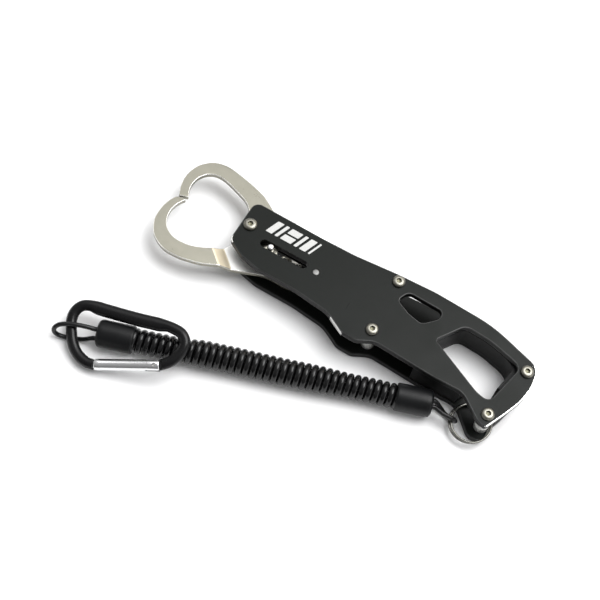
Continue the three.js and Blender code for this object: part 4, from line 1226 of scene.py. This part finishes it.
path = catmull([(x, y, 0) for x, y in CAR_CENTRE_LINE], 220)
sizes = []
for point in path:
    # the spine, at y > 3, is pressed wider and flatter and sits a little inward
    spine = 0.0
    if point.y > 3:
        spine = smooth(max(0.0, min(1.0, (point.x - 6.0) / 5.0))
                       * max(0.0, min(1.0, (42.0 - point.x) / 5.0)))
    point.y -= 0.32 * spine
    sizes.append((2.35 + 0.55 * spine, 2.12 - 0.12 * spine))
body_bm = sweep_bm(path, sizes, sides=28, up=(0, 0, 1), cap=0.35)
body_bm.transform(TO_LOCAL)
TO_GATE_PIVOT = Matrix.Translation(local(*GATE_PIVOT))
body_bm = carve(body_bm, [
    # flats either side of the gate pivot, then its pin hole
    disc_bm(3.6, 0.85, 4, TO_GATE_PIVOT),
    disc_bm(3.6, -4, -0.85, TO_GATE_PIVOT),
    box_bm(local(20, -20, -4), local(GATE_PIVOT[0] - 1.75, -7, 4)),
    disc_bm(0.72, -4, 4, TO_GATE_PIVOT),
    # slot in the nose, and its square end
    box_bm(local(9.2, -20, -0.85), local(20, -5, 0.85)),
    box_bm(local(12.2, -20, -4), local(20, -5, 4))])
body_bm.transform(CAR_MATRIX)
piece("carabiner_body", body_bm, [MAT_CARABINER], "carabiner", "carabiner", sharp=38, bevel=0.12)

# gate: modelled with its pivot at the origin and its length along x
gate_run = Vector((NOSE[0] - GATE_PIVOT[0], NOSE[1] - GATE_PIVOT[1]))
gate_l = gate_run.length
GATE_MATRIX = CAR_MATRIX @ (TO_GATE_PIVOT @ Matrix.Rotation(atan2(gate_run.y, gate_run.x), 4, "Z"))
Z_TO_X = Matrix.Rotation(pi / 2, 4, "Y")
gate_profile = fillet([
    (0, -2.2), (GATE_R, -2.2, 0.6), (GATE_R, 2.8, 0.1), (GATE_R - 0.06, 3.0, 0.1),
    (GATE_R - 0.06, gate_l - 4.3, 0.1), (GATE_R, gate_l - 4.1, 0.1),
    (GATE_R, gate_l - 1.6, 0.5), (0, gate_l - 1.6)], step=10)
blade = rounded([
    (gate_l - 3, -1.5, 0), (gate_l + 0.9, -1.5, 0.6), (gate_l + 0.9, 1.5, 0.6),
    (gate_l - 3, 1.5, 0)], step=12)
blade_bm = slab_bm([blade], -0.6, 0.6, bevel=0.1, steps=1)
blade_bm.transform(TO_LOCAL)
gate_bm = carve(lathe_bm(gate_profile, 56, Z_TO_X), [
    box_bm(local(-4, -4, -1.15), local(3.8, 4, 1.15)),
    disc_bm(0.76, -4, 4, Matrix.Identity(4)),
    disc_bm(1.35, 3.0, 14, Z_TO_X, segments=32)], weld=blade_bm)
gate_bm.transform(GATE_MATRIX)
piece("carabiner_gate", gate_bm, [MAT_ALU], "gate", "alu", sharp=38, bevel=0.1)

# rivet with slightly domed ends
rivet_profile = fillet([
    (0, -2.02), (0.45, -1.98, 0.2), (0.7, -1.8, 0.15), (0.7, 1.8, 0.15), (0.45, 1.98, 0.2),
    (0, 2.02)], step=15)
piece("gate_pin", lathe_bm(rivet_profile, 32, CAR_MATRIX @ TO_GATE_PIVOT), [MAT_STEEL],
      "carabiner", "steel", sharp=50)

# spring in the gate's bore: six turns
points = []
for i in range(181):
    share = i / 180
    angle = 2 * pi * 6 * share
    points.append(Vector((4.2 + 9.2 * share, 0.95 * cos(angle), 0.95 * sin(angle))))
spring_bm = sweep_bm(points, (0.22, 0.22), sides=8, cap=0.3)
spring_bm.transform(TO_LOCAL)
spring_bm.transform(GATE_MATRIX)
piece("gate_spring", spring_bm, [MAT_SPRING], "gate", "spring", sharp=50)

# ------------------------------------------------------------------ floor
paper, tree, bsdf = new_material("studio_paper")
fibres = noise(tree, coords(tree), scale=800, detail=4, rough=0.6)
feed(tree, bsdf, {
    "Base Color": mix_colour(tree, fibres, (0.93, 0.93, 0.935), (0.955, 0.955, 0.96)),
    "Roughness": 0.8,
    "Specular IOR Level": 0.2,
    "Normal": bump(tree, fibres, distance=0.00003, strength=0.3)})
FLOOR_HALF, FLOOR_Z = 3.0, -0.00005     # metres
floor_mesh = bpy.data.meshes.new("floor")
floor_mesh.from_pydata(
    [(x * FLOOR_HALF, y * FLOOR_HALF, FLOOR_Z) for x, y in ((-1, -1), (1, -1), (1, 1), (-1, 1))],
    [], [(0, 1, 2, 3)])
floor_mesh.materials.append(paper)
floor = bpy.data.objects.new("floor", floor_mesh)
bpy.context.scene.collection.objects.link(floor)

# ------------------------------------------------------------------ world: brighter towards +y, up
world = bpy.data.worlds.new("studio")
bpy.context.scene.world = world
world.use_nodes = True
tree = world.node_tree
BRIGHT_SIDE = Vector((0.18, 0.72, 0.67)).normalized()
view = add_node(tree, "TexCoord", {}).outputs["Generated"]
facing = add_node(tree, "VectorMath", {0: view, 1: BRIGHT_SIDE}, operation="DOT_PRODUCT")
feed(tree, tree.nodes["Background"], {
    "Strength": remap(tree, facing.outputs["Value"], (-0.7, 1.0), (0.13, 0.62)),
    "Color": (1, 1, 1, 1)})


# ------------------------------------------------------------------ lights, metres
def area(name, place, size, radiance, target=(0, 0, 0), size_y=None):
    """Soft box of a given brightness."""
    light = bpy.data.lights.new(name, "AREA")
    size_y = size_y or size
    light.size = size
    light.shape = "RECTANGLE"
    light.size_y = size_y
    light.energy = radiance * pi * size * size_y
    ob = bpy.data.objects.new(name, light)
    bpy.context.scene.collection.objects.link(ob)
    ob.location = place
    ob.rotation_mode = "QUATERNION"
    ob.rotation_quaternion = (Vector(target) - Vector(place)).to_track_quat("-Z", "Y")
    return light


area("overhead", place=(-0.26, 0.47, 1.00), size=1.25, radiance=1.20, size_y=0.80)
area("key", place=(0.40, 0.40, 1.20), size=0.95, radiance=6.3)
back_light = area("back", place=(0.29, 1.02, 0.42), target=(0, 0, 0.02), size=0.40,
                  radiance=1.7, size_y=0.30)
back_light.color = (1.0, 0.84, 0.64)
area("left", place=(-1.0, -0.05, 0.13), target=(-0.04, 0.0, 0.02), size=0.32, radiance=1.3,
     size_y=0.20)
area("left_front", place=(-0.78, -0.64, 0.34), target=(0.02, -0.02, 0.02), size=0.30,
     radiance=1.0)
area("right", place=(1.05, 0.02, 0.30), target=(0.1, 0, 0.02), size=0.95, radiance=1.3,
     size_y=0.30)

# ------------------------------------------------------------------ camera and view
scene = bpy.context.scene
scene.view_settings.view_transform = "Standard"
scene.view_settings.look = "None"
scene.view_settings.exposure = 0.0
scene.view_settings.gamma = 1.0

CAMERA_PLACE = (0.07384, -0.22420, 0.46811)
level_right = Vector((0.94438, 0.32887, 0))
level_up = Vector((-0.29303, 0.84146, 0.45399))
forward = Vector((-0.14930, 0.42874, -0.89101))
ROLL_COS, ROLL_SIN = 0.9796, 0.2011     # roll about the line of sight
right = level_right * ROLL_COS + level_up * ROLL_SIN
up = level_right * -ROLL_SIN + level_up * ROLL_COS
camera = bpy.data.cameras.new("camera")
camera.lens = 72
camera.sensor_width = 36
camera.sensor_fit = "HORIZONTAL"
camera.clip_start = 0.01
camera.clip_end = 20
camera_ob = bpy.data.objects.new("camera", camera)
scene.collection.objects.link(camera_ob)
camera_ob.matrix_world = axes_matrix(right.normalized(), up.normalized(), -forward, CAMERA_PLACE)
scene.camera = camera_ob
